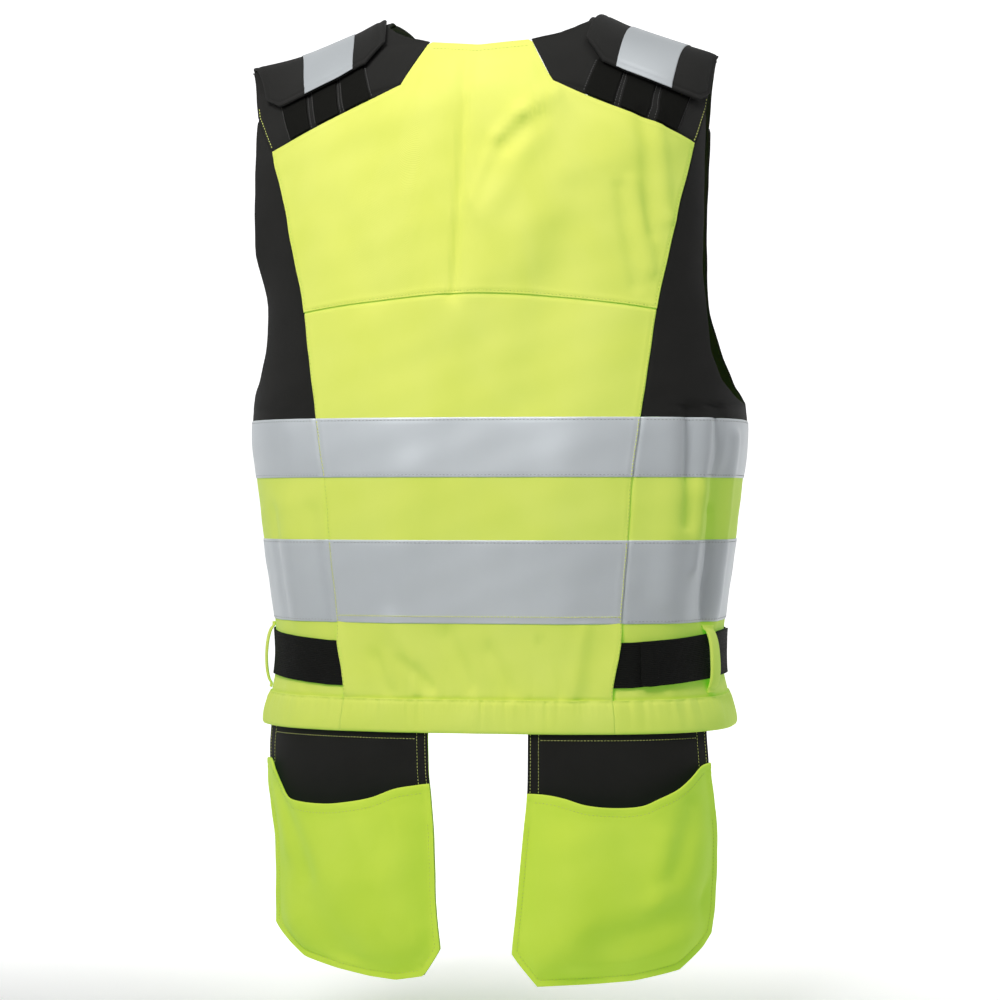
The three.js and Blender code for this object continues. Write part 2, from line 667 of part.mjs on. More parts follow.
for (const side of sides) {
  const { name, sign } = side;
  const yokePlace = shoulderPlace(backShoulder, sign, false);
  const yoke = [`shoulder_yoke_${name}`, 'black', yokePlace, shoulderColumns, shoulderRows];
  vest.add(sheet(...yoke, -clothWall, 0));
  loopStrips.forEach((strip, index) => {
    const columns = [strip.from, strip.to];
    const face = [`loop_strip_${name}_${index + 1}`, 'elastic', yokePlace, columns, stripRows];
    vest.add(sheet(...face, layerGap, layerGap + tapeWall));
  });
  const frontPlace = shoulderPlace(frontShoulder, sign, true);
  const front = [`front_shoulder_${name}`, 'black', frontPlace, spread(0, 1, 5)];
  vest.add(sheet(...front, frontShoulderRows, -clothWall, 0));

  const flapPlace = (u, v) => {
    const inner = mix(flapInner.ridge, flapInner.end, Math.abs(v));
    const outer = mix(flapOuter.ridge, flapOuter.end, Math.abs(v));
    const reach = linear(flapColumns, 'across', u, 'reach');
    const run = v > 0 ? v * flapLengthBack * reach : v * flapLengthFront;
    return { angle: sign * mix(inner, outer, u), run };
  };
  const lift = (u, v) => {
    if (v === -1) return layerGap + flapSewn;
    return layerGap + tapeWall + mix(flapRest, flapLift, clamp(v * 3, 0, 1));
  };
  const flapFace = (u, v) => lift(u, v) + flapWall;
  const across = flapColumns.map((column) => column.across);
  const along = [-1, -0.66, -0.33, 0, 0.2, 0.4, 0.6, 0.8, 1];
  const flap = [`shoulder_flap_${name}`, 'black', flapPlace, across, along];
  vest.add(sheet(...flap, lift, flapFace));
  const patchInner = (u, v) => flapFace(u, v) + layerGap;
  const patchOuter = (u, v) => patchInner(u, v) + tapeWall;
  const patchColumns = across.slice(patchFrom, patchTo + 1);
  const patch = [`flap_patch_${name}`, 'tape', flapPlace, patchColumns, along];
  vest.add(sheet(...patch, patchInner, patchOuter));
}

// Front panels, their tapes and the zip between them
const zipAngle = zipWidth / 2 / (chestHalfDepth * radians);
const frontTop = [
  { ...frontNeckLow, angle: 0 },
  frontNeckLow,
  frontNeckSide,
  { ...frontYokeInner, down: frontYokeInner.down + seamGap / upperTapeTop },
  { ...frontYokeOuter, down: frontYokeOuter.down + seamGap / upperTapeTop },
];
const frontSeam = indexed(sideFrontRows);
const frontTopRow = frontTop[frontTop.length - 1].down * upperTapeTop;

function frontSeamAngle(down) {
  if (down > upperTapeTop) return seamAngle(down);
  return linear(frontSeam, 'seamDown', down / upperTapeTop, 'seam');
}

function frontPlaceFor(sign) {
  return (u, row) => {
    const start = zipAngle + gapAngle * 2;
    const fade = clamp((upperTapeTop - row) / (upperTapeTop - frontTopRow), 0, 1);
    let angle = mix(start, frontSeamAngle(row), u);
    let down = row;
    for (let pass = 0; pass < 8; pass += 1) {
      const top = linear(frontTop, 'angle', angle, 'down') * upperTapeTop;
      down = row < upperTapeTop ? mix(upperTapeTop, top, fade) : row;
      angle = mix(start, frontSeamAngle(down) - gapAngle, u);
    }
    return spotAt(sign * (180 - angle), down);
  };
}

const frontColumns = [0, 0.1, 0.22, 0.36, 0.52, 0.68, 0.84, 1];
const frontUpperRows = [
  frontTopRow,
  ...sideFrontRows.slice(2, 5).map((row) => row.seamDown * upperTapeTop),
  upperTapeTop,
];
const frontRows = [...frontUpperRows, ...bandRows.slice(1), ...waistRows.slice(1)];
for (const side of sides) {
  const { name, sign } = side;
  const place = frontPlaceFor(sign);
  const panel = [`front_panel_${name}`, 'yellow', place, frontColumns, frontRows];
  vest.add(sheet(...panel, -clothWall, 0));
  const upper = [`tape_upper_front_${name}`, 'tape', place, frontColumns, upperTapeRows];
  vest.add(sheet(...upper, layerGap, layerGap + tapeWall));
  const lower = [`tape_lower_front_${name}`, 'tape', place, frontColumns, lowerTapeRows];
  vest.add(sheet(...lower, layerGap, layerGap + tapeWall));
}

const zipTop = frontNeckLow.down * upperTapeTop;
const zipPlace = (u, row) => spotAt(180 + u * zipAngle, row);
const zipRows = spread(zipTop, backLength, 14);
vest.add(sheet('front_zip', 'zip', zipPlace, [-1, 0, 1], zipRows, -zipWall, 0));
const sliderShare = sliderWidth / zipWidth;
const sliderRows = [zipTop + layerGap, zipTop + layerGap + sliderLength];
const sliderColumns = [-sliderShare, 0, sliderShare];
const slider = ['zip_slider', 'zip', zipPlace, sliderColumns, sliderRows];
vest.add(sheet(...slider, layerGap, layerGap + sliderWall));

// Hem casing in three pieces, thicker than the panels above it
const hemRows = [hemTop + seamGap / 2, hemTop + hemHeight / 2, backLength];
const hemIn = -hemWall / 2;
const hemBulge = (u, row) => (row === hemRows[1] ? hemWall / 2 + 1 : hemWall / 2);
const hemBackPlace = (u, row) => spotAt(u * (hemSeamAngle - gapAngle), row);
const hemBack = ['hem_back', 'yellow', hemBackPlace, spread(-1, 1, 14), hemRows];
vest.add(sheet(...hemBack, hemIn, hemBulge));
for (const side of sides) {
  const { name, sign } = side;
  const from = hemSeamAngle + gapAngle;
  const to = 180 - zipAngle - gapAngle * 2;
  const place = (u, row) => spotAt(sign * mix(from, to, u), row);
  const hem = [`hem_side_${name}`, 'yellow', place, spread(0, 1, 18), hemRows];
  vest.add(sheet(...hem, hemIn, hemBulge));
}

// Holster pockets: a rear layer, a backing and a pouch that is open at its top
for (const side of sides) {
  const { name, sign } = side;
  const mouthColumn = name === 'left' ? 'mouthLeft' : 'mouthRight';
  const edgePlace = (u, downShare) => {
    const inner = linear(pocketRows, 'down', downShare, 'inner');
    const outer = linear(pocketRows, 'down', downShare, name);
    const down = pocketTop + downShare * pocketLength;
    return spotAt(sign * mix(inner, outer, u), down);
  };
  const pouchPlace = (u, v) => {
    const bottom = linear(pocketColumns, 'across', u, 'bottom');
    const mouth = linear(pocketColumns, 'across', u, mouthColumn);
    return edgePlace(u, mix(mouth, bottom, v));
  };
  const layerPlace = (u, v) => {
    const bottom = linear(pocketColumns, 'across', u, 'bottom');
    return edgePlace(u, v * bottom);
  };
  const across = pocketColumns.map((column) => column.across);
  const backingFace = hemIn - pocketSetIn;
  const rearFace = backingFace - pocketWall - layerGap;
  const layerRows = [0, 0.12, 0.3, 0.5, 0.75, 1];
  const backing = [`pocket_backing_${name}`, 'black', layerPlace, across, layerRows];
  vest.add(sheet(...backing, backingFace - pocketWall, backingFace));
  const rear = [`pocket_rear_${name}`, 'yellow', layerPlace, across, layerRows];
  vest.add(sheet(...rear, rearFace - pocketWall, rearFace));
  const stand = (u, v) => {
    const wide = linear(pocketColumns, 'across', u, 'bulge');
    const tall = smooth(pouchRows, 'along', v, 'stand');
    return backingFace + layerGap + pouchDepth * wide * tall;
  };
  const standFace = (u, v) => stand(u, v) + clothWall;
  const pouchAlong = [0, 0.1, 0.25, 0.42, 0.6, 0.78, 0.9, 1];
  const pouch = [`pocket_pouch_${name}`, 'yellow', pouchPlace, across, pouchAlong];
  vest.add(sheet(...pouch, stand, standFace));
}

export default vest;
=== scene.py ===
import json
import math
import bpy
import numpy as np
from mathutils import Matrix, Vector
from mathutils.bvhtree import BVHTree

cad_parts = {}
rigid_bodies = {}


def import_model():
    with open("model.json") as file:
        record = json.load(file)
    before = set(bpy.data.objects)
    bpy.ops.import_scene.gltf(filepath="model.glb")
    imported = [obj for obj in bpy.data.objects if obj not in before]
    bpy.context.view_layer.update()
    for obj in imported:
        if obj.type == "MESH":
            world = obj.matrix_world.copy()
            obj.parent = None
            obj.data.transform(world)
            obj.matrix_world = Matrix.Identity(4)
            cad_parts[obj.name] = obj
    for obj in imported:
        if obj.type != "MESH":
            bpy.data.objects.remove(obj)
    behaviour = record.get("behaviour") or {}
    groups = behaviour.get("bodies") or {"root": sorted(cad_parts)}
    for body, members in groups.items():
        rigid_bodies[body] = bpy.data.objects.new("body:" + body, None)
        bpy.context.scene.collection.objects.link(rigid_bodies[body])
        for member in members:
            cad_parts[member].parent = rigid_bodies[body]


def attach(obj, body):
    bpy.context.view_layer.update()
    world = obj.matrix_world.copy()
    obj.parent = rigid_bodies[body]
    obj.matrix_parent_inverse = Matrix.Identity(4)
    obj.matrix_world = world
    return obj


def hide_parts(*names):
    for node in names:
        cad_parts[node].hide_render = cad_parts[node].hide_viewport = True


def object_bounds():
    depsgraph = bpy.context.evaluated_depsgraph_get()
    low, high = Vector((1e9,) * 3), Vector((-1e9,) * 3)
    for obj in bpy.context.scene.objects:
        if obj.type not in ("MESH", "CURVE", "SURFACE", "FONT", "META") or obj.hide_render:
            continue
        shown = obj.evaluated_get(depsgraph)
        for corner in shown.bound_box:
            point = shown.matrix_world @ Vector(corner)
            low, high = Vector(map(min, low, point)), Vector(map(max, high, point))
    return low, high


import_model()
cad_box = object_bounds()

# The camera stands level with the middle of the vest, turned a little to the right of
# its back. The vest is clear of a pale floor that curves up into a pale backdrop,
# under three soft lights above it on the camera's side.
MIDDLE_DOWN = 0.427
CAMERA_DISTANCE = 2.3
CAMERA_AZIMUTH = 9.5
CAMERA_LENS = 93.74
SENSOR_WIDTH = 36.0

camera_data = bpy.data.cameras.new("camera")
camera_data.lens = CAMERA_LENS
camera_data.sensor_width = SENSOR_WIDTH
camera = bpy.data.objects.new("camera", camera_data)
turn = math.radians(CAMERA_AZIMUTH)
camera.location = (
    CAMERA_DISTANCE * math.sin(turn),
    -CAMERA_DISTANCE * math.cos(turn),
    -MIDDLE_DOWN,
)
camera.rotation_euler = (math.pi / 2, 0, turn)
bpy.context.scene.collection.objects.link(camera)
bpy.context.scene.camera = camera
bpy.context.scene.view_settings.view_transform = "Standard"

FLOOR_DROP = 0.06
SWEEP_RADIUS = 1.2
SWEEP_BACK = 2.6
STAGE_WIDTH = 9.0
STAGE_FRONT = 4.5
STAGE_HEIGHT = 4.0
SWEEP_STEPS = 24
PAPER_TONE = 0.8
# how far behind the middle of the vest, and how strongly the paper is lit there
PAPER_FRONT = (-0.1, 0.06)
PAPER_BACK = (0.5, 0.8)


def new_material(name):
    """A material with its node tree, its shader and its texture coordinates."""
    material = bpy.data.materials.new(name)
    material.use_nodes = True
    tree = material.node_tree
    return material, tree, tree.nodes["Principled BSDF"], tree.nodes.new("ShaderNodeTexCoord")


def paper_material():
    """Matt white paper. Behind the vest it is lit from within, as a lit backdrop is."""
    material, tree, shader, place = new_material("pale_paper")
    shader.inputs["Base Color"].default_value = (PAPER_TONE, PAPER_TONE, PAPER_TONE, 1)
    shader.inputs["Roughness"].default_value = 0.9
    split = tree.nodes.new("ShaderNodeSeparateXYZ")
    tree.links.new(place.outputs["Object"], split.inputs[0])
    depth = tree.nodes.new("ShaderNodeMapRange")
    depth.inputs["From Min"].default_value = PAPER_FRONT[0]
    depth.inputs["From Max"].default_value = PAPER_BACK[0]
    depth.inputs["To Min"].default_value = PAPER_FRONT[1]
    depth.inputs["To Max"].default_value = PAPER_BACK[1]
    tree.links.new(split.outputs["Y"], depth.inputs["Value"])
    shader.inputs["Emission Color"].default_value = (1, 1, 1, 1)
    tree.links.new(depth.outputs[0], shader.inputs["Emission Strength"])
    return material


def swept_stage():
    """A floor that curves up behind the vest into a wall, as a roll of paper does."""
    floor = cad_box[0][2] - FLOOR_DROP
    line = [(-STAGE_FRONT, floor)]
    for step in range(SWEEP_STEPS + 1):
        angle = math.pi / 2 * step / SWEEP_STEPS
        line.append((
            SWEEP_BACK + SWEEP_RADIUS * math.sin(angle),
            floor + SWEEP_RADIUS * (1 - math.cos(angle)),
        ))
    line.append((SWEEP_BACK + SWEEP_RADIUS, floor + STAGE_HEIGHT))
    points = [(side * STAGE_WIDTH, y, z) for y, z in line for side in (-1, 1)]
    faces = [(2 * i, 2 * i + 1, 2 * i + 3, 2 * i + 2) for i in range(len(line) - 1)]
    mesh = bpy.data.meshes.new("studio_floor")
    mesh.from_pydata(points, [], faces)
    for polygon in mesh.polygons:
        polygon.use_smooth = True
    mesh.materials.append(paper_material())
    return bpy.data.objects.new("studio_floor", mesh)


stage = swept_stage()
bpy.context.scene.collection.objects.link(stage)


def soft_light(name, place, aim_at, size, power, spread):
    """A square lamp turned to a height below the origin, with its beam kept narrow."""
    data = bpy.data.lights.new(name, "AREA")
    data.size = size
    data.energy = power
    data.spread = math.radians(spread)
    lamp = bpy.data.objects.new(name, data)
    lamp.location = place
    aim = Vector((0, 0, -aim_at)) - Vector(place)
    lamp.rotation_euler = aim.to_track_quat("-Z", "Y").to_euler()
    bpy.context.scene.collection.objects.link(lamp)
    return lamp


soft_light("key_light", (-0.36, -1.2, 0.7), aim_at=0.24, size=0.7, power=5.4, spread=85)
soft_light("fill_light", (-1.8, -1.9, 0.6), aim_at=0.25, size=1.2, power=1.9, spread=110)
soft_light("top_light", (0.75, -0.5, 1.3), aim_at=0.1, size=1.0, power=2.2, spread=80)
world = bpy.data.worlds.new("studio")
world.use_nodes = True
world.node_tree.nodes["Background"].inputs["Color"].default_value = (0.95, 0.97, 1.0, 1)
world.node_tree.nodes["Background"].inputs["Strength"].default_value = 0.185
bpy.context.scene.world = world

# Back yoke panel: fluorescent yellow polyester-cotton twill over the shoulder blades.
# It is cut to a body form, and this section holds that form, which all the cloth follows.
BACK_LENGTH = 0.622
CHEST_HALF_WIDTH = 0.217
CHEST_HALF_DEPTH = 0.135
SECTION_POWER = 2.7
SHOULDER_DROP = 0.049
SHOULDER_ROUND = 0.105
RIDGE_BEHIND = 0.025
NECK_ANGLE = 37
TIP_ANGLE = 77
CLOTH_WALL = 0.002

HEM_HEIGHT = 0.028
WAIST_HEIGHT = 0.0635
LOWER_TAPE_WIDTH = 0.07
TAPE_SPACING = 0.0525
UPPER_TAPE_WIDTH = 0.05
HEM_TOP = BACK_LENGTH - HEM_HEIGHT
LOWER_TAPE_BOTTOM = HEM_TOP - WAIST_HEIGHT
LOWER_TAPE_TOP = LOWER_TAPE_BOTTOM - LOWER_TAPE_WIDTH
UPPER_TAPE_BOTTOM = LOWER_TAPE_TOP - TAPE_SPACING
UPPER_TAPE_TOP = UPPER_TAPE_BOTTOM - UPPER_TAPE_WIDTH

# angle from the middle of the back, ridge's down as a share of the shoulder's drop
RIDGE_ROWS = ((0, -0.04), (37, 0.19), (47, 0.46), (62, 0.81), (77, 1.0), (90, 1.07))

# down as a share of the back's length, width and depth as shares of the chest's
BODY_SECTIONS = (
    (0.0, 0.945, 0.9),
    (0.15, 0.945, 0.96),
    (0.3, 0.945, 1.0),
    (0.42, 0.955, 1.0),
    (0.555, 0.995, 1.01),
    (0.6, 1.0, 1.01),
    (0.66, 0.982, 1.0),
    (0.74, 0.955, 0.98),
    (0.86, 0.908, 0.93),
    (0.93, 0.908, 0.93),
    (1.0, 0.955, 0.96),
    (1.15, 0.952, 0.97),
    (1.35, 0.94, 0.97),
)

# angle and down at each end, spread across, and height: shares of the back's length,
# the chest's half width and the chest's half depth
FOLDS = (
    (-4, 0.1, -7, 0.41, 0.04, -0.022),
    (27, 0.15, 4, 0.3, 0.08, 0.03),
    (48, 0.2, -6, 0.42, 0.16, 0.03),
    (34, 0.28, 22, 0.55, 0.12, -0.025),
    (-36, 0.22, -24, 0.5, 0.14, -0.02),
    (-22, 0.66, -30, 0.92, 0.12, 0.02),
    (26, 0.66, 32, 0.92, 0.12, 0.02),
    (62, 0.68, 60, 0.92, 0.07, 0.03),
    (72, 0.66, 70, 0.9, 0.06, -0.03),
    (-60, 0.7, -62, 0.92, 0.08, 0.025),
    (150, 0.4, 156, 0.85, 0.14, 0.025),
    (-150, 0.42, -155, 0.85, 0.14, 0.025),
    (-80, 0.08, -77, 0.34, 0.16, 0.15),
    (78, 0.1, 76, 0.36, 0.14, -0.06),
    (110, 0.08, 114, 0.4, 0.2, -0.06),
    (-5.8, 0.15, -8.8, 0.405, 0.013, 0.011),
    (-4.0, 0.15, -6.6, 0.405, 0.011, -0.013),
    (27, 0.14, 16, 0.168, 0.03, 0.022),
    (16, 0.168, 8, 0.2, 0.026, 0.02),
    (8, 0.2, -1, 0.285, 0.026, 0.014),
    (24, 0.17, 12, 0.215, 0.035, -0.024),
    (54, 0.16, 57, 0.31, 0.022, 0.014),
    (50.5, 0.17, 53, 0.33, 0.024, -0.016),
    (47.9, 0.26, 52.5, 0.38, 0.02, 0.014),
    (45, 0.27, 49, 0.4, 0.024, -0.014),
    (-20, 0.125, -26, 0.13, 0.02, -0.008),
    (-44, 0.3, -34, 0.41, 0.06, -0.012),
    (56, 0.57, 57, 0.82, 0.045, 0.024),
    (60.5, 0.56, 61, 0.72, 0.018, -0.028),
    (65, 0.58, 64, 0.78, 0.024, 0.024),
    (68.6, 0.56, 70, 0.7, 0.018, -0.024),
    (70, 0.7, 72.5, 0.86, 0.018, -0.036),
    (76, 0.6, 77, 0.86, 0.03, 0.026),
    (-56, 0.6, -58, 0.86, 0.05, 0.016),
    (-51.5, 0.7, -50.5, 0.9, 0.02, -0.014),
    (-64, 0.7, -63, 0.92, 0.026, -0.018),
    (-22.4, 0.925, -21.8, 0.945, 0.018, 0.016),
    (-26.5, 0.905, -17, 0.94, 0.026, -0.018),
    (-36, 0.9, -31, 0.945, 0.03, -0.016),
    (-11, 0.87, -2, 0.935, 0.04, -0.018),
    (6, 0.89, 14, 0.945, 0.035, -0.014),
    (24, 0.88, 30, 0.945, 0.028, -0.018),
    (37, 0.86, 34, 0.945, 0.03, 0.014),
    (-30, 0.85, -24, 0.9, 0.05, 0.016),
    (52, 0.925, 56, 0.95, 0.02, -0.018),
    (-60, 0.925, -55, 0.95, 0.02, -0.016),
)
GATHER_DEPTH = 0.0011
GATHER_RISE = 0.046
GATHER_COUNT = 24
FINE_GATHER_COUNT = 61
FINE_GATHER_BEAT = 17
RIPPLE = 0.0003
STRAP_LEVEL = 0.902 * BACK_LENGTH
STRAP_REACH = 0.034
STRAP_FLATTENS = 0.8
STRAP_FROM_ANGLE = 48


def smooth_column(rows, place, column):
    """A table's column read with a smooth curve through its rows."""
    keys = np.array([row[0] for row in rows])
    values = np.array([row[column] for row in rows])
    slopes = np.gradient(values)
    slopes[1:-1] = (values[2:] - values[:-2]) / (keys[2:] - keys[:-2])
    slopes[0] = (values[1] - values[0]) / (keys[1] - keys[0])
    slopes[-1] = (values[-1] - values[-2]) / (keys[-1] - keys[-2])
    place = np.clip(place, keys[0], keys[-1])
    i = np.clip(np.searchsorted(keys, place, side="right") - 1, 0, len(keys) - 2)
    span = keys[i + 1] - keys[i]
    t = (place - keys[i]) / span
    rise = t * t * (3 - 2 * t)
    ends = t * (1 - t) ** 2 * span * slopes[i] + t * t * (t - 1) * span * slopes[i + 1]
    return values[i] * (1 - rise) + values[i + 1] * rise + ends


def section_radius(angle, down):
    """The body's rounded-oval section, without its folds."""
    half_width = CHEST_HALF_WIDTH * smooth_column(BODY_SECTIONS, down / BACK_LENGTH, 1)
    half_depth = CHEST_HALF_DEPTH * smooth_column(BODY_SECTIONS, down / BACK_LENGTH, 2)
    across = np.abs(np.sin(np.radians(angle)) / half_width) ** SECTION_POWER
    deep = np.abs(np.cos(np.radians(angle)) / half_depth) ** SECTION_POWER
    return (across + deep) ** (-1 / SECTION_POWER)


def ridge_down(angle):
    """How far below the origin the shoulder ridge lies, the same in front and behind."""
    turned = np.where(np.abs(angle) < 90, np.abs(angle), 180 - np.abs(angle))
    return SHOULDER_DROP * smooth_column(RIDGE_ROWS, turned, 1)


def run_at(angle, down):
    """Length down the cloth from the shoulder ridge to a height below the origin."""
    drop = np.maximum(down - ridge_down(angle), 0)
    bent = SHOULDER_ROUND * np.arccos(np.clip(1 - drop / SHOULDER_ROUND, -1, 1))
    straight = SHOULDER_ROUND * (math.pi / 2 - 1) + drop
    return np.where(drop < SHOULDER_ROUND, bent, straight)


def drop_at(run):
    """Height lost from the ridge after a length down the cloth."""
    bent = SHOULDER_ROUND * (1 - np.cos(run / SHOULDER_ROUND))
    straight = run - SHOULDER_ROUND * (math.pi / 2 - 1)
    return np.where(run < SHOULDER_ROUND * math.pi / 2, bent, straight)


def fold_height(angle, down):
    """Folds, gathers above the hem and a slow ripple. Straps press the side folds flat."""
    arc = math.radians((CHEST_HALF_WIDTH + CHEST_HALF_DEPTH) / 2)
    height = np.zeros(np.broadcast(angle, down).shape)
    for angle_a, down_a, angle_b, down_b, spread, rise in FOLDS:
        start = np.array([angle_a * arc, down_a * BACK_LENGTH])
        run = np.array([angle_b * arc, down_b * BACK_LENGTH]) - start
        from_x = angle * arc - start[0]
        from_y = down - start[1]
        share = np.clip((from_x * run[0] + from_y * run[1]) / (run @ run), 0, 1)
        away = np.hypot(from_x - share * run[0], from_y - share * run[1])
        shape = np.exp(-((away / (spread * CHEST_HALF_WIDTH)) ** 2))
        height = height + rise * CHEST_HALF_DEPTH * shape
    under_strap = np.exp(-(((down - STRAP_LEVEL) / STRAP_REACH) ** 4))
    height = height * (1 - STRAP_FLATTENS * under_strap * (np.abs(angle) > STRAP_FROM_ANGLE))
    near_hem = np.clip(1 - np.abs(down - HEM_TOP) / GATHER_RISE, 0, 1)
    wave = np.cos(np.radians(angle) * GATHER_COUNT)
    finer = np.sin(np.radians(angle) * FINE_GATHER_COUNT + 1.3)
    finer = finer * np.cos(np.radians(angle) * FINE_GATHER_BEAT)
    height = height + GATHER_DEPTH * near_hem * (0.6 * wave + 0.55 * near_hem * finer)
    slow = np.sin(angle * arc * 92 + 3 * down * 40) * np.sin(down * 71 - angle * arc * 37)
    return height + RIPPLE * slow


def body_point(angle, run):
    """The cloth's outer face. A run below zero lies over the ridge, on the other side."""
    turned = np.where(run < 0, np.where(angle < 0, -1, 1) * (180 - np.abs(angle)), angle)
    length = np.abs(run)
    down = ridge_down(turned) + drop_at(length)
    radius = section_radius(turned, down) + fold_height(turned, down)
    reach = np.sin(np.minimum(length / SHOULDER_ROUND, math.pi / 2))
    depth = -radius * np.cos(np.radians(turned))
    y = -RIDGE_BEHIND * (1 - reach) + depth * reach
    return np.stack([radius * np.sin(np.radians(turned)), y, -down], axis=-1)


def body_normal(angle, run):
    """The way out of the cloth at a place on the body."""
    turn, step = 0.25, 0.0008
    across = body_point(angle + turn, run) - body_point(angle - turn, run)
    downward = body_point(angle, run + step) - body_point(angle, run - step)
    normal = np.cross(downward, across)
    return normal / np.linalg.norm(normal, axis=-1, keepdims=True)


def closed_mesh(name, points, faces, uv=None):
    """A smooth mesh object, its faces turned to point out of it."""
    points = np.asarray(points, float)
    a, b, c = (points[faces[:, k]] for k in (0, 1, 2))
    d = points[faces[:, -1]]
    volume = (a * np.cross(b, c)).sum() + (a * np.cross(c, d)).sum()
    if volume < 0:
        faces = faces[:, ::-1]
    mesh = bpy.data.meshes.new(name)
    mesh.from_pydata(points.tolist(), [], faces.tolist())
    mesh.polygons.foreach_set("use_smooth", np.ones(len(mesh.polygons), bool))
    if uv is not None:
        loops = np.zeros(len(mesh.loops), np.int32)
        mesh.loops.foreach_get("vertex_index", loops)
        layer = mesh.uv_layers.new(name="cloth")
        layer.data.foreach_set("uv", uv[loops].astype(np.float32).ravel())
    mesh.update()
    piece = bpy.data.objects.new(name, mesh)
    bpy.context.scene.collection.objects.link(piece)
    return piece


def walled(name, outer, inner):
    """A closed sheet between two grids of points. Its UVs are metres along the cloth."""
    rows, columns = outer.shape[:2]
    count = rows * columns
    at = np.arange(count).reshape(rows, columns)
    face = np.stack([at[:-1, :-1], at[1:, :-1], at[1:, 1:], at[:-1, 1:]], -1).reshape(-1, 4)
    ring = np.concatenate([at[0], at[1:, -1], at[-1, -2::-1], at[-2:0:-1, 0]])
    after = np.roll(ring, -1)
    rim = np.stack([ring, after, after + count, ring + count], -1)
    faces = np.concatenate([face, face[:, ::-1] + count, rim])
    across = np.linalg.norm(np.diff(outer, axis=1), axis=-1)
    along = np.linalg.norm(np.diff(outer, axis=0), axis=-1)
    u = np.concatenate([np.zeros((rows, 1)), np.cumsum(across, axis=1)], axis=1)
    v = np.concatenate([np.zeros((1, columns)), np.cumsum(along, axis=0)], axis=0)
    u = u - u[:, columns // 2][:, None]
    uv = np.stack([u, -v], -1).reshape(-1, 2)
    points = np.concatenate([outer.reshape(-1, 3), inner.reshape(-1, 3)])
    return closed_mesh(name, points, faces, np.concatenate([uv, uv]))


EDGE_MARKS = (0.0, 0.0004, 0.001, 0.0018, 0.0028, 0.004, 0.0054, 0.007, 0.009)
UNDERLAP = 0.005
FOLD_RAISE = 0.00045
STITCH_INSET = 0.0022
STITCH_DENT = 0.0004
RIM_ROUND = 0.0009
TURNED_WIDTH = 0.0055
TURNED_HOLLOW = 0.0015
TUCK_WIDTH = 0.0016
TUCK_DROP = 0.0011
THINNEST = 0.0004


def graded(length, step, start, end):
    """Distances along a length, close together near its edges. An edge that goes under
    its neighbour runs on past the seam."""
    def marks(kind):
        below = [-UNDERLAP, -UNDERLAP / 2] if kind == "under" else []
        return below + list(EDGE_MARKS)
    low, high = marks(start), [length - mark for mark in marks(end)]
    first, last = EDGE_MARKS[-1], length - EDGE_MARKS[-1]
    inside = max(int(round((last - first) / step)), 1)
    middle = np.linspace(first, last, inside + 1)[1:-1]
    return np.array(low + list(middle) + high[::-1])


def edge_shape(distance, kind):
    """Outer and inner face offsets near one edge, besides the wall itself."""
    if kind == "over":
        near = 1 / (1 + np.exp((distance - TURNED_WIDTH) / 0.0009))
        dent = STITCH_DENT * np.exp(-(((distance - STITCH_INSET) / 0.0008) ** 2))
        outer = FOLD_RAISE * near - dent
        inner = TURNED_HOLLOW * near
    elif kind == "under":
        near = 1 / (1 + np.exp((distance - TUCK_WIDTH) / 0.0008))
        outer = -TUCK_DROP * near
        inner = -0.0006 * near
    else:
        outer = np.zeros_like(distance)
        inner = np.zeros_like(distance)
    if kind in ("over", "free"):
        inside = np.clip(1 - distance / RIM_ROUND, 0, 1)
        rounding = (1 - np.sqrt(1 - 0.97 * inside**2)) * CLOTH_WALL * 0.42
        outer = outer - rounding
        inner = inner + rounding
    return outer, inner


def cloth_panel(name, place, width, length, kinds, step=0.004, base=0.0, wall=CLOTH_WALL,
                relief=None):
    """A cloth panel. place gives angle and run from shares across and down, and kinds
    names its left, right, top and bottom edges: over, under, free or flat."""
    left, right, top, bottom = kinds
    across = graded(width, step, left, right)
    down = graded(length, step, top, bottom)
    u, v = np.meshgrid(across / width, down / length)
    angle, run = place(u, v)
    outer = np.full(u.shape, base)
    inner = np.full(u.shape, base - wall)
    distances = (u * width, (1 - u) * width, v * length, (1 - v) * length)
    for distance, kind in zip(distances, kinds):
        raised, lifted = edge_shape(distance, kind)
        outer = outer + raised
        inner = inner + lifted
    inner = np.minimum(inner, outer - THINNEST)
    if relief is not None:
        shaped = relief(u, v)
        outer = outer + shaped
        inner = inner + shaped
    surface = body_point(angle, run)
    normal = body_normal(angle, run)
    return walled(name, surface + normal * outer[..., None], surface + normal * inner[..., None])


def fit(piece, material, slot, *nodes):
    """Gives a piece its material and body, and hides the nodes it stands for. Its slot is not used.
    """
    piece.data.materials.append(material)
    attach(piece, "root")
    if nodes:
        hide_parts(*nodes)
    return piece


def group(name, inputs, outputs):
    """A shader node group with named sockets."""
    tree = bpy.data.node_groups.new(name, "ShaderNodeTree")
    for label, kind, value in inputs:
        socket = tree.interface.new_socket(label, in_out="INPUT", socket_type=kind)
        if value is not None:
            socket.default_value = value
    for label, kind in outputs:
        tree.interface.new_socket(label, in_out="OUTPUT", socket_type=kind)
    return tree, tree.nodes.new("NodeGroupInput"), tree.nodes.new("NodeGroupOutput")


def math_node(tree, operation, first, second=None):
    """The result of one sum. Each side is a number or another node's output."""
    node = tree.nodes.new("ShaderNodeMath")
    node.operation = operation
    for socket, value in zip(node.inputs, (first, second)):
        if value is None:
            continue
        if isinstance(value, (int, float)):
            socket.default_value = value
        else:
            tree.links.new(value, socket)
    return node.outputs[0]


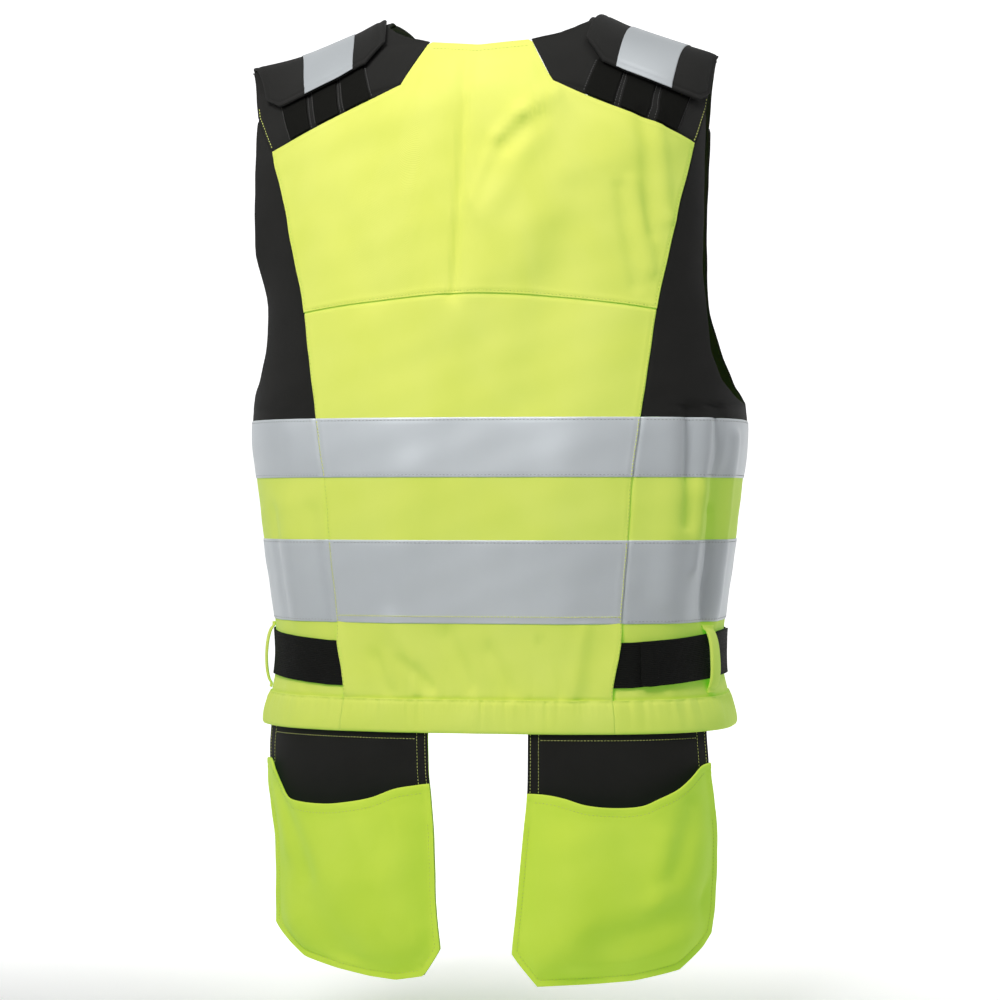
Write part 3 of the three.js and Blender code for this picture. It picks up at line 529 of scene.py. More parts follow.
def weave_group():
    """Twill lines that run down to one side, over cross threads, with a loose nap."""
    tree, ins, outs = group(
        "woven_cloth",
        [
            ("Coordinates", "NodeSocketVector", None),
            ("Pitch", "NodeSocketFloat", 0.0009),
            ("Twill", "NodeSocketFloat", 0.7),
            ("Nap", "NodeSocketFloat", 0.3),
        ],
        [("Height", "NodeSocketFloat")],
    )
    split = tree.nodes.new("ShaderNodeSeparateXYZ")
    tree.links.new(ins.outputs["Coordinates"], split.inputs[0])
    rate = math_node(tree, "DIVIDE", 2 * math.pi, ins.outputs["Pitch"])
    slant = math_node(tree, "MULTIPLY", split.outputs["Y"], 0.6)
    lean = math_node(tree, "ADD", split.outputs["X"], slant)
    twill = math_node(tree, "SINE", math_node(tree, "MULTIPLY", lean, rate))
    cross = math_node(tree, "SINE", math_node(tree, "MULTIPLY", split.outputs["Y"], rate))
    threads = math_node(tree, "MULTIPLY", twill, ins.outputs["Twill"])
    rest = math_node(tree, "SUBTRACT", 1.0, ins.outputs["Twill"])
    threads = math_node(tree, "ADD", threads, math_node(tree, "MULTIPLY", cross, rest))
    nap = tree.nodes.new("ShaderNodeTexNoise")
    nap.inputs["Scale"].default_value = 900
    nap.inputs["Detail"].default_value = 3
    tree.links.new(ins.outputs["Coordinates"], nap.inputs["Vector"])
    fuzz = math_node(tree, "MULTIPLY", nap.outputs["Fac"], ins.outputs["Nap"])
    height = math_node(tree, "ADD", math_node(tree, "MULTIPLY", threads, 0.5), fuzz)
    tree.links.new(height, outs.inputs["Height"])
    return tree


def tone_group():
    """A loose noise as a mask, and a colour that follows it from dark to light."""
    tree, ins, outs = group(
        "uneven_tone",
        [
            ("Coordinates", "NodeSocketVector", None),
            ("Scale", "NodeSocketFloat", 14.0),
            ("Detail", "NodeSocketFloat", 4.0),
            ("Roughness", "NodeSocketFloat", 0.5),
            ("Low", "NodeSocketFloat", 0.3),
            ("High", "NodeSocketFloat", 0.7),
            ("Dark", "NodeSocketColor", None),
            ("Light", "NodeSocketColor", None),
        ],
        [("Color", "NodeSocketColor"), ("Mask", "NodeSocketFloat")],
    )
    noise = tree.nodes.new("ShaderNodeTexNoise")
    tree.links.new(ins.outputs["Coordinates"], noise.inputs["Vector"])
    for label in ("Scale", "Detail", "Roughness"):
        tree.links.new(ins.outputs[label], noise.inputs[label])
    share = tree.nodes.new("ShaderNodeMapRange")
    tree.links.new(noise.outputs["Fac"], share.inputs["Value"])
    tree.links.new(ins.outputs["Low"], share.inputs["From Min"])
    tree.links.new(ins.outputs["High"], share.inputs["From Max"])
    blend = tree.nodes.new("ShaderNodeMix")
    blend.data_type = "RGBA"
    tree.links.new(share.outputs[0], blend.inputs["Factor"])
    tree.links.new(ins.outputs["Dark"], blend.inputs["A"])
    tree.links.new(ins.outputs["Light"], blend.inputs["B"])
    tree.links.new(blend.outputs["Result"], outs.inputs["Color"])
    tree.links.new(noise.outputs["Fac"], outs.inputs["Mask"])
    return tree


woven_cloth = weave_group()
uneven_tone = tone_group()


def tone(tree, shader, coordinates, dark, light, scale, detail, low=0.3, high=0.7,
         roughness=0.5):
    """Colours a material unevenly between two tones. Gives back the noise as a mask."""
    node = tree.nodes.new("ShaderNodeGroup")
    node.node_tree = uneven_tone
    tree.links.new(coordinates, node.inputs["Coordinates"])
    node.inputs["Scale"].default_value = scale
    node.inputs["Detail"].default_value = detail
    node.inputs["Roughness"].default_value = roughness
    node.inputs["Low"].default_value = low
    node.inputs["High"].default_value = high
    node.inputs["Dark"].default_value = (*dark, 1)
    node.inputs["Light"].default_value = (*light, 1)
    tree.links.new(node.outputs["Color"], shader.inputs["Base Color"])
    return node.outputs["Mask"]


def surface_relief(tree, shader, height, strength, distance):
    """Raises a material's surface by a height."""
    bump = tree.nodes.new("ShaderNodeBump")
    bump.inputs["Strength"].default_value = strength
    bump.inputs["Distance"].default_value = distance
    tree.links.new(height, bump.inputs["Height"])
    tree.links.new(bump.outputs["Normal"], shader.inputs["Normal"])


def cloth_material(name, light, dark, painted_glow, roughness, sheen, pitch, twill, nap, bump):
    """A woven cloth: two close colours mottled together, thread relief and a soft sheen.
    Its emission is a painted green glow, standing in for the fluorescent dye's glow: it lightens
    the cloth's shade and turns it greener."""
    material, tree, shader, place = new_material(name)
    weave = tree.nodes.new("ShaderNodeGroup")
    weave.node_tree = woven_cloth
    tree.links.new(place.outputs["UV"], weave.inputs["Coordinates"])
    weave.inputs["Pitch"].default_value = pitch
    weave.inputs["Twill"].default_value = twill
    weave.inputs["Nap"].default_value = nap
    tone(tree, shader, place.outputs["UV"], dark, light, scale=14, detail=4)
    surface_relief(tree, shader, weave.outputs["Height"], strength=bump, distance=0.0003)
    shader.inputs["Roughness"].default_value = roughness
    shader.inputs["Specular IOR Level"].default_value = 0.25
    shader.inputs["Sheen Weight"].default_value = sheen
    shader.inputs["Sheen Roughness"].default_value = 0.5
    # painted glow: a constant green emission that lightens the cloth's shade
    shader.inputs["Emission Color"].default_value = (*painted_glow, 1)
    shader.inputs["Emission Strength"].default_value = 1.0
    return material


# the third colour is the painted green glow
yellow_cloth = cloth_material(
    "yellow_twill", (0.70, 0.57, 0.155), (0.66, 0.54, 0.12), (0.015, 0.225, 0.0),
    roughness=0.8, sheen=0.08, pitch=0.0009, twill=0.75, nap=0.4, bump=0.35
)

# The seam between the centre panel and the side panels: down as a share of the upper
# tape's height, then as a share of the way from there to the hem
UPPER_SEAM = ((0.355, 65.5), (0.488, 60.5), (0.747, 53.8), (1.0, 49.0))
LOWER_SEAM = ((0.0, 49.0), (0.22, 47.4), (0.72, 47.2), (0.8, 47.6), (0.95, 44.8), (1.0, 44.6))
SEAM_DOWN = np.array(
    [share * UPPER_TAPE_TOP for share, _ in UPPER_SEAM]
    + [UPPER_TAPE_TOP + share * (HEM_TOP - UPPER_TAPE_TOP) for share, _ in LOWER_SEAM[1:]]
)
SEAM_ANGLE = np.array([a for _, a in UPPER_SEAM] + [a for _, a in LOWER_SEAM[1:]])
NECK_MIDDLE = (0, 0.12)
NECK_CORNER = (19.3, 0.107)
YOKE_INNER = (27, 0.216)
YOKE_OUTER = (65.5, 0.355)
YOKE_ARMHOLE = (71.1, 0.263)
CURVED_SEAM_MIDDLE = 0.712
CURVED_SEAM_ENDS = 0.748
SEAM_SOFTNESS = 0.012
SEAM_ROUNDS = 10


def seam_angle(down):
    """The seam's angle, with its corners rounded a little."""
    shifts = (-SEAM_SOFTNESS, 0, SEAM_SOFTNESS)
    near = [np.interp(down + shift, SEAM_DOWN, SEAM_ANGLE) for shift in shifts]
    return (near[0] + 2 * near[1] + near[2]) / 4


def curved_seam(angle):
    """How far down the yoke's lower seam lies. It hangs lowest at its ends."""
    end_angle = np.interp(CURVED_SEAM_ENDS * UPPER_TAPE_TOP, SEAM_DOWN, SEAM_ANGLE)
    share = (np.abs(angle) / end_angle) ** 2
    return UPPER_TAPE_TOP * (CURVED_SEAM_MIDDLE * (1 - share) + CURVED_SEAM_ENDS * share)


YOKE_TOP = np.array([NECK_MIDDLE, NECK_CORNER, YOKE_INNER, YOKE_OUTER])
YOKE_WIDTH = 0.36
YOKE_HEIGHT = 0.19


def back_yoke_place(u, v):
    """Angle and run from shares across the yoke panel and down it."""
    angle = (2 * u - 1) * YOKE_OUTER[0]
    for _ in range(SEAM_ROUNDS):
        top = np.interp(np.abs(angle), YOKE_TOP[:, 0], YOKE_TOP[:, 1]) * UPPER_TAPE_TOP
        down = top + (curved_seam(angle) - top) * v
        angle = (2 * u - 1) * np.minimum(seam_angle(down), YOKE_OUTER[0])
    return angle, run_at(angle, down)


back_yoke = cloth_panel(
    "back_yoke_cloth", back_yoke_place, YOKE_WIDTH, YOKE_HEIGHT, ("over",) * 4
)
fit(back_yoke, yellow_cloth, "yellow_cloth", "back_yoke")

# Back centre panel: the same twill from the curved seam down to the hem. Its folded side
# edges are topstitched over the side panels and stand a little proud.
CURVED_TOP = UPPER_TAPE_TOP * CURVED_SEAM_MIDDLE
CENTRE_WIDTH = 0.33


def centre_spot(u, row):
    """Angle and run on the centre panel. Rows above the tape bend with the curved seam."""
    share = 2 * u - 1
    fade = np.maximum((UPPER_TAPE_TOP - row) / (UPPER_TAPE_TOP - CURVED_TOP), 0)
    angle = share * seam_angle(row)
    for _ in range(8):
        down = row + (curved_seam(angle) - CURVED_TOP) * fade
        angle = share * seam_angle(down)
    return angle, run_at(angle, down)


def between(top, bottom, spot, *sign):
    """A place function for the part of a panel that lies between two rows."""
    def place(u, v):
        return spot(*sign, u, top + (bottom - top) * v)
    return place


STRAP_WIDTH = 0.038
STRAP_BOTTOM = HEM_TOP - 0.010
STRAP_TOP = STRAP_BOTTOM - STRAP_WIDTH
FREE_EDGE_LIFT = 0.0032
TURNED_RIDGE = 0.0007


def turned_edge(row, place):
    """The narrow ridge where the panel is turned up and stitched beside a tape."""
    return TURNED_RIDGE * np.exp(-(((row - place) / 0.0011) ** 2))


def back_centre_relief(u, v):
    """The side edges lift free of the waist straps that run in under them."""
    row = CURVED_TOP + (HEM_TOP - CURVED_TOP) * v
    from_edge = np.minimum(u, 1 - u) * CENTRE_WIDTH
    middle = (STRAP_TOP + STRAP_BOTTOM) / 2
    beside = np.exp(-(((row - middle) / 0.032) ** 4)) * np.exp(-((from_edge / 0.014) ** 2))
    return FREE_EDGE_LIFT * beside + turned_edge(row, LOWER_TAPE_TOP - 0.0013)


back_centre_place = between(CURVED_TOP, HEM_TOP, centre_spot)
back_centre = cloth_panel(
    "back_centre_cloth", back_centre_place, CENTRE_WIDTH, 0.34,
    ("over", "over", "under", "under"), relief=back_centre_relief
)
fit(back_centre, yellow_cloth, "yellow_cloth", "back_centre")

# Side panels: black twill from the shoulder yoke to the upper tape and round under the
# arm. The armhole edge is turned in and topstitched.
black_cloth = cloth_material(
    "black_twill", (0.0115, 0.0112, 0.0100), (0.0080, 0.0078, 0.0068), (0, 0, 0),
    roughness=0.86, sheen=0.03, pitch=0.0009, twill=0.8, nap=0.5, bump=0.5
)

# seam's down, armhole's angle, armhole's down
SIDE_BACK_ROWS = np.array([
    (0.275, 71.1, 0.266),
    (0.357, 70.8, 0.35),
    (0.488, 70.0, 0.515),
    (0.68, 68.4, 0.687),
    (0.84, 68.3, 0.84),
    (0.92, 71.4, 0.91),
    (0.96, 78.5, 0.95),
    (0.985, 90.0, 0.965),
    (1.0, 90.0, 1.0),
])
SIDE_FRONT_ROWS = np.array([
    (0.275, 69.6, 0.266),
    (0.357, 67.8, 0.35),
    (0.488, 66.0, 0.515),
    (0.68, 66.0, 0.687),
    (0.84, 68.6, 0.84),
    (0.92, 72.4, 0.91),
    (0.96, 79.5, 0.95),
    (0.985, 90.0, 0.965),
    (1.0, 90.0, 1.0),
])
FRONT_SEAM = np.array([
    (0.275, 68.6), (0.357, 64.0), (0.488, 58.5), (0.68, 53.5), (0.84, 50.9),
    (0.92, 50.0), (0.96, 49.6), (0.985, 49.2), (1.0, 49.0),
])
SIDES = (("left", -1), ("right", 1))


def back_side_seam(down):
    above = np.interp(
        down / UPPER_TAPE_TOP, (YOKE_ARMHOLE[1], YOKE_OUTER[1]), (YOKE_ARMHOLE[0], YOKE_OUTER[0])
    )
    return np.where(down < YOKE_OUTER[1] * UPPER_TAPE_TOP, above, seam_angle(down))


def front_side_seam(down):
    above = np.interp(down / UPPER_TAPE_TOP, FRONT_SEAM[:, 0], FRONT_SEAM[:, 1])
    return np.where(down < UPPER_TAPE_TOP, above, seam_angle(down))


def side_panel_place(rows, sign, front):
    """A side panel's angle and run from shares across it and down it."""
    def place(u, v):
        index = v * (len(rows) - 1)
        marks = np.arange(len(rows))
        soft = 0.18
        row = [
            (np.interp(index - soft, marks, rows[:, k]) + 2 * np.interp(index, marks, rows[:, k])
             + np.interp(index + soft, marks, rows[:, k])) / 4
            for k in range(3)
        ]
        down_seam = row[0] * UPPER_TAPE_TOP
        seam = front_side_seam(down_seam) if front else back_side_seam(down_seam)
        angle = seam + (row[1] - seam) * u
        down = (row[0] + (row[2] - row[0]) * u) * UPPER_TAPE_TOP
        angle = np.minimum(angle, 90)
        return sign * (180 - angle if front else angle), run_at(angle, down)
    return place


for side, sign in SIDES:
    for face, rows in (("back", SIDE_BACK_ROWS), ("front", SIDE_FRONT_ROWS)):
        place = side_panel_place(rows, sign, face == "front")
        panel = cloth_panel(
            f"side_panel_{face}_{side}_cloth", place, 0.07, 0.27,
            ("under", "free", "under", "flat"), step=0.005
        )
        fit(panel, black_cloth, "black_cloth", f"side_panel_{face}_{side}")

# Lower side panels: yellow twill from the back seam round under the arm to the front
# seam, between the upper tape and the hem. Both ends run in under their neighbours.


def lower_spot(sign, share, row):
    """Angle and run a share of the way round the side, at a row."""
    start = seam_angle(row)
    angle = start + (180 - 2 * start) * share
    return sign * angle, run_at(angle, row)


def lower_side_relief(u, v):
    """Turned up and stitched just under the upper tape."""
    row = UPPER_TAPE_TOP + (HEM_TOP - UPPER_TAPE_TOP) * v
    return turned_edge(row, UPPER_TAPE_BOTTOM + 0.0013)


for side, sign in SIDES:
    panel = cloth_panel(
        f"side_lower_{side}_cloth", between(UPPER_TAPE_TOP, HEM_TOP, lower_spot, sign), 0.3,
        HEM_TOP - UPPER_TAPE_TOP, ("under", "under", "flat", "under"), relief=lower_side_relief
    )
    fit(panel, yellow_cloth, "yellow_cloth", f"side_lower_{side}")

# Front panels: yellow twill, finished plainly. They are sewn to the side panels and
# meet the zip at the middle of the front.
ZIP_WIDTH = 0.016
ZIP_ANGLE = math.degrees(ZIP_WIDTH / 2 / CHEST_HALF_DEPTH)
FRONT_TOP = np.array([(0, 0.42), (5, 0.42), (15, 0.33), (24, 0.25), (63.5, 0.355)])
FRONT_TOP_ROW = FRONT_TOP[-1, 1] * UPPER_TAPE_TOP


def front_spot(sign, share, row):
    """Angle and run a share of the way from the zip to the seam, at a row."""
    fade = np.maximum((UPPER_TAPE_TOP - row) / (UPPER_TAPE_TOP - FRONT_TOP_ROW), 0)
    angle = ZIP_ANGLE + (front_side_seam(row) - ZIP_ANGLE) * share
    for _ in range(SEAM_ROUNDS):
        top = np.interp(angle, FRONT_TOP[:, 0], FRONT_TOP[:, 1]) * UPPER_TAPE_TOP
        down = np.where(row < UPPER_TAPE_TOP, UPPER_TAPE_TOP + (top - UPPER_TAPE_TOP) * fade, row)
        angle = ZIP_ANGLE + (front_side_seam(down) - ZIP_ANGLE) * share
    return sign * (180 - angle), run_at(angle, down)


for side, sign in SIDES:
    panel = cloth_panel(
        f"front_panel_{side}_cloth", between(FRONT_TOP_ROW, HEM_TOP, front_spot, sign), 0.17,
        0.47, ("free", "over", "over", "under"), step=0.005
    )
    fit(panel, yellow_cloth, "yellow_cloth", f"front_panel_{side}")

# Reflective tapes: two bands of glass-bead tape right round the vest. Each is laid on
# its panel and stitched along both edges, and cut where the panels meet.
TAPE_WALL = 0.0006
TAPE_LIFT = 0.0009
BACK_TAPE_LENGTH = 0.3
FRONT_TAPE_LENGTH = 0.15


def tape_material(name, light, dark):
    """Grey glass-bead tape: a fine bead grain, a slow bluish drift and a soft gloss."""
    material, tree, shader, place = new_material(name)
    tone(tree, shader, place.outputs["UV"], dark, light, scale=9, detail=4)
    beads = tree.nodes.new("ShaderNodeTexVoronoi")
    beads.inputs["Scale"].default_value = 2500
    tree.links.new(place.outputs["UV"], beads.inputs["Vector"])
    surface_relief(tree, shader, beads.outputs["Distance"], strength=0.12, distance=0.0001)
    shader.inputs["Metallic"].default_value = 0.25
    shader.inputs["Roughness"].default_value = 0.48
    return material


reflective_tape = tape_material("reflective_tape", (0.60, 0.635, 0.66), (0.54, 0.575, 0.60))
TAPE_ROWS = (
    ("upper", UPPER_TAPE_TOP, UPPER_TAPE_BOTTOM),
    ("lower", LOWER_TAPE_TOP, LOWER_TAPE_BOTTOM),
)


def tape(name, place, width, height, kinds, node):
    """One length of tape, pressed thin along its two stitched edges."""
    def edge_relief(u, v):
        near = np.minimum(v, 1 - v) * height
        rim = -0.0004 * np.exp(-((near / 0.0008) ** 2))
        return rim - 0.0002 * np.exp(-(((near - 0.0025) / 0.0008) ** 2))
    piece = cloth_panel(
        name, place, width, height, (*kinds, "flat", "flat"), base=TAPE_LIFT, wall=TAPE_WALL,
        relief=edge_relief
    )
    fit(piece, reflective_tape, "reflective_tape", node)
    return piece


for level, top, bottom in TAPE_ROWS:
    height = bottom - top
    tape(f"tape_{level}_back_strip", between(top, bottom, centre_spot), BACK_TAPE_LENGTH, height,
         ("over", "over"), f"tape_{level}_back")
    for side, sign in SIDES:
        tape(f"tape_{level}_side_{side}_strip", between(top, bottom, lower_spot, sign),
             BACK_TAPE_LENGTH, height, ("under", "under"), f"tape_{level}_side_{side}")
        tape(f"tape_{level}_front_{side}_strip", between(top, bottom, front_spot, sign),
             FRONT_TAPE_LENGTH, height, ("flat", "over"), f"tape_{level}_front_{side}")

# Shoulder yokes: black twill over the top of each shoulder, sewn over the back yoke's
# upper edge and meeting a plain black front piece at the ridge.


def edge_line(corners):
    """A yoke edge: shares down it, then angle and run at each corner."""
    rows = [(0.0, corners[0], 0.0)]
    for share, (angle, down) in corners[1:]:
        rows.append((share, angle, float(run_at(np.array(angle), np.array(down * UPPER_TAPE_TOP)))))
    return np.array(rows)


SHOULDER_WIDTH = 0.14
BACK_SHOULDER = (
    edge_line((
        NECK_ANGLE, (0.18, (36.3, 0.0525)), (0.3, (32.5, 0.073)), (0.42, (28, 0.091)),
        (0.5, NECK_CORNER), (1, YOKE_INNER),
    )),
    edge_line((TIP_ANGLE, (0.7, YOKE_ARMHOLE), (1, YOKE_OUTER))),
)
FRONT_SHOULDER = (
    edge_line((NECK_ANGLE, (1, (24, 0.25)))),
    edge_line((TIP_ANGLE, (0.7, (69.0, 0.263)), (1, (63.5, 0.355)))),
)


def shoulder_place(lines, sign, front):
    """A shoulder piece's angle and run, between its inner and outer edge lines."""
    def place(u, v):
        inner = [np.interp(v, lines[0][:, 0], lines[0][:, k]) for k in (1, 2)]
        outer = [np.interp(v, lines[1][:, 0], lines[1][:, k]) for k in (1, 2)]
        beyond = np.maximum(v - 1, 0) * 0.1
        angle = inner[0] + (outer[0] - inner[0]) * u
        run = inner[1] + (outer[1] - inner[1]) * u + beyond
        return sign * (180 - angle if front else angle), run
    return place


for side, sign in SIDES:
    yoke = cloth_panel(
        f"shoulder_yoke_{side}_cloth", shoulder_place(BACK_SHOULDER, sign, False),
        SHOULDER_WIDTH, 0.12, ("over", "over", "flat", "under")
    )
    fit(yoke, black_cloth, "black_cloth", f"shoulder_yoke_{side}")
    front = cloth_panel(
        f"front_shoulder_{side}_cloth", shoulder_place(FRONT_SHOULDER, sign, True),
        SHOULDER_WIDTH, 0.13, ("free", "free", "flat", "under"), step=0.006
    )
    fit(front, black_cloth, "black_cloth", f"front_shoulder_{side}")

# Loop-tape strips: three short strips of fuzzy black loop tape on each yoke. They are
# stitched down along both sides, from under the flap to the yoke's lower seam.

# angle and down at the top and bottom of each strip's inner edge, then its outer edge
LOOP_STRIPS = (
    ((39.9, 0.060), (36.4, 0.0882), (46.3, 0.068), (43.5, 0.0972)),
    ((47.8, 0.070), (45.3, 0.0996), (54.2, 0.0785), (51.6, 0.1077)),
    ((56.1, 0.0825), (53.6, 0.1103), (63.3, 0.088), (59.3, 0.1177)),
)
STRIP_RISE = 0.45


def loop_material():
    """Matted black loops that catch a little light."""
    material, tree, shader, place = new_material("loop_tape")
    pile = tone(
        tree, shader, place.outputs["UV"], (0.003, 0.003, 0.0025), (0.018, 0.018, 0.016),
        scale=1100, detail=5, low=0.35, high=0.75, roughness=0.7
    )
    surface_relief(tree, shader, pile, strength=0.9, distance=0.0008)
    shader.inputs["Roughness"].default_value = 1.0
    shader.inputs["Specular IOR Level"].default_value = 0.05
    return material


loop_tape = loop_material()


def strip_spot(sign, strip, u, v):
    """Shares across and down a strip. It starts above its top corners, under the flap."""
    inner_top, inner_bottom, outer_top, outer_bottom = np.array(strip)
    v = np.asarray(v)[..., None] * (1 + STRIP_RISE) - STRIP_RISE
    u = np.asarray(u)[..., None]
    inner = inner_top + (inner_bottom - inner_top) * v
    outer = outer_top + (outer_bottom - outer_top) * v
    spot = inner + (outer - inner) * u
    return sign * spot[..., 0], run_at(spot[..., 0], spot[..., 1])


for side, sign in SIDES:
    for number, strip in enumerate(LOOP_STRIPS, 1):
        def strip_place(u, v, sign=sign, strip=strip):
            return strip_spot(sign, strip, u, v)

        piece = cloth_panel(
            f"loop_strip_{side}_{number}_pile", strip_place, 0.024, 0.046,
            ("flat",) * 4, step=0.002, base=0.0014, wall=0.001
        )
        fit(piece, loop_tape, "loop_tape", f"loop_strip_{side}_{number}")

# Shoulder flaps: thick black tabs sewn along the shoulder, with a patch of reflective
# tape folded right over each. Their ends stand off the yokes.
FLAP_BACK = 0.106
FLAP_FRONT = 0.06
FLAP_WALL = 0.0028
FLAP_INNER = (39.5, 37.5)
FLAP_OUTER = (76.5, 71.0)
FLAP_REACH = np.array([(0.0, 0.8), (0.13, 1.0), (0.86, 1.0), (1.0, 0.87)])
FLAP_LEAN = {-1: 0.1, 1: 0.03}
PATCH_SHARES = (0.23, 0.63)
PATCH_WALL = 0.0006
FLAP_WIDTH = 0.115
# a stitch line's depth, how far in from the edge it runs, and its spread
FLAP_STITCH = (0.0006, 0.005, 0.0011)
PATCH_STITCH = (0.0005, 0.0065, 0.0009)


def flap_spot(sign, u, v):
    """Angle and run on a flap: v is 1 at its free end, 0 at the ridge, -1 in front."""
    inner = FLAP_INNER[0] + (FLAP_INNER[1] - FLAP_INNER[0]) * np.abs(v)
    outer = FLAP_OUTER[0] + (FLAP_OUTER[1] - FLAP_OUTER[0]) * np.abs(v)
    reach = np.interp(u, FLAP_REACH[:, 0], FLAP_REACH[:, 1])
    run = np.where(v > 0, v * FLAP_BACK * reach, v * FLAP_FRONT)
    u = u - FLAP_LEAN[sign] * np.clip(v, 0, 1)
    return sign * (inner + (outer - inner) * u), run


def flap_lift(v):
    """How far the flap stands off the yoke: it rolls up towards its free end."""
    rise = np.clip(v, 0, 1)
    return 0.0016 + 0.0004 * np.clip(v * 3, 0, 1) + 0.0012 * rise**3


def padded_flap(name, sign, u_range, thickness, lift, stitch, ends_only=False):
    """A thick flap-shaped layer with rounded edges, stood off the shoulder."""
    width, length = FLAP_WIDTH, FLAP_BACK + FLAP_FRONT
    across = graded(width * (u_range[1] - u_range[0]), 0.003, "flat", "flat")
    across = u_range[0] + across / width
    down = -1 + 2 * graded(length, 0.003, "flat", "flat") / length
    split = FLAP_FRONT / length
    along = (down + 1) / 2
    v_line = np.where(along < split, (along - split) / split, (along - split) / (1 - split))
    u, v = np.meshgrid(across, v_line)
    angle, run = flap_spot(sign, u, v)
    surface = body_point(angle, run)
    normal = body_normal(angle, run)
    from_end = np.minimum((1 - v) * FLAP_BACK, (1 + v) * FLAP_FRONT)
    distance = np.minimum(np.minimum(u - u_range[0], u_range[1] - u) * width, from_end)
    round_off = np.clip(1 - distance / (thickness * 0.55), 0, 1)
    trim = thickness * 0.48 * (1 - np.sqrt(np.clip(1 - round_off**2, 0, 1)))
    depth, inset, spread = stitch
    dent = depth * np.exp(-((((from_end if ends_only else distance) - inset) / spread) ** 2))
    base = flap_lift(v) + lift
    outer = base + thickness - trim - dent
    inner = base + trim
    inner = np.minimum(inner, outer - 0.0003)
    return walled(name, surface + normal * outer[..., None], surface + normal * inner[..., None])


patch_tape = tape_material("patch_tape", (0.46, 0.485, 0.50), (0.42, 0.445, 0.46))
for side, sign in SIDES:
    flap = padded_flap(f"shoulder_flap_{side}_cloth", sign, (0, 1), FLAP_WALL, 0.0, FLAP_STITCH)
    fit(flap, black_cloth, "black_cloth", f"shoulder_flap_{side}")
    patch = padded_flap(
        f"flap_patch_{side}_strip", sign, PATCH_SHARES, PATCH_WALL, FLAP_WALL + 0.0001,
        PATCH_STITCH, ends_only=True
    )
    fit(patch, patch_tape, "reflective_tape", f"flap_patch_{side}")

# Waist straps: black ribbed elastic that runs out from under the centre panel's edges,
# with a folded tongue on the right one. A yellow belt loop holds each strap at the side.
STRAP_TUCK_ANGLE = 1.7
STRAP_RISE = 0.007
STRAP_WALL = 0.0015
LAYER_GAP = 0.0003
STRAP_END = 118
TONGUE_START = 52.2
TONGUE_END = 97
LOOP_ANGLES = {"left": 77, "right": 73.6}
LOOP_WIDTH = 0.012
LOOP_STAND = 0.004
LOOP_TUCK = 0.003
LOOP_FLAT_END = 0.06
LOOP_CROWN = 0.001
RIB_PITCH = 0.0016
PICK_PITCH = 0.0009
FOLDED_END = 0.0125
TONGUE_LENGTH = 0.13


def elastic_material():
    """Black elastic: fine ribs across the strap, with painted shade down between them that leaves
    their crowns lighter.
    """
    material, tree, shader, place = new_material("black_elastic")
    split = tree.nodes.new("ShaderNodeSeparateXYZ")
    tree.links.new(place.outputs["UV"], split.inputs[0])
    down_rate = math_node(tree, "MULTIPLY", split.outputs["Y"], 2 * math.pi / RIB_PITCH)
    across_rate = math_node(tree, "MULTIPLY", split.outputs["X"], 2 * math.pi / PICK_PITCH)
    ribs = math_node(tree, "SINE", down_rate)
    picks = math_node(tree, "SINE", across_rate)
    height = math_node(tree, "ADD", ribs, math_node(tree, "MULTIPLY", picks, 0.5))
    blend = tree.nodes.new("ShaderNodeValToRGB")
    blend.color_ramp.elements[0].color = (0.0016, 0.0018, 0.0012, 1)
    blend.color_ramp.elements[1].color = (0.006, 0.0064, 0.0052, 1)
    # painted shade: the colour follows the ribs' height, darker between them
    painted_rib_shade = math_node(tree, "ADD", math_node(tree, "MULTIPLY", height, 0.3), 0.5)
    tree.links.new(painted_rib_shade, blend.inputs["Fac"])
    tree.links.new(blend.outputs["Color"], shader.inputs["Base Color"])
    surface_relief(tree, shader, height, strength=0.6, distance=0.0003)
    shader.inputs["Roughness"].default_value = 0.85
    shader.inputs["Specular IOR Level"].default_value = 0.2
    return material


black_elastic = elastic_material()


def strap_place(sign, first, last):
    """A strap's angle and run. With no first angle it starts under the centre panel."""
    def place(u, v):
        row = STRAP_TOP + (STRAP_BOTTOM - STRAP_TOP) * v
        start = seam_angle(row) - STRAP_TUCK_ANGLE if first is None else first
        angle = start + (last - start) * u
        row = row - STRAP_RISE * np.clip((angle - 50) / 30, 0, 1)
        return sign * angle, run_at(angle, row)
    return place


for side, sign in SIDES:
    strap = cloth_panel(
        f"waist_strap_{side}_elastic", strap_place(sign, None, STRAP_END), 0.2, STRAP_WIDTH,
        ("flat",) * 4, step=0.003, base=LAYER_GAP + STRAP_WALL, wall=STRAP_WALL
    )
    fit(strap, black_elastic, "elastic", f"waist_strap_{side}")


def folded_end(u, v):
    """The tongue's end is folded double and sewn, so it stands thicker."""
    from_end = u * TONGUE_LENGTH
    raised = 0.0016 / (1 + np.exp((from_end - FOLDED_END) / 0.0004))
    dent = 0.0007 * np.exp(-(((from_end - FOLDED_END + 0.003) / 0.0008) ** 2))
    return raised - dent


tongue = cloth_panel(
    "strap_tongue_right_elastic", strap_place(1, TONGUE_START, TONGUE_END), TONGUE_LENGTH,
    STRAP_WIDTH, ("flat",) * 4, step=0.0015, base=2 * (LAYER_GAP + STRAP_WALL), wall=STRAP_WALL,
    relief=folded_end
)
fit(tongue, black_elastic, "elastic", "strap_tongue_right")

LOOP_TOP = LOWER_TAPE_BOTTOM + LOOP_TUCK
LOOP_BOTTOM = HEM_TOP - LOOP_TUCK
LOOP_FACE = 2 * (LAYER_GAP + STRAP_WALL)


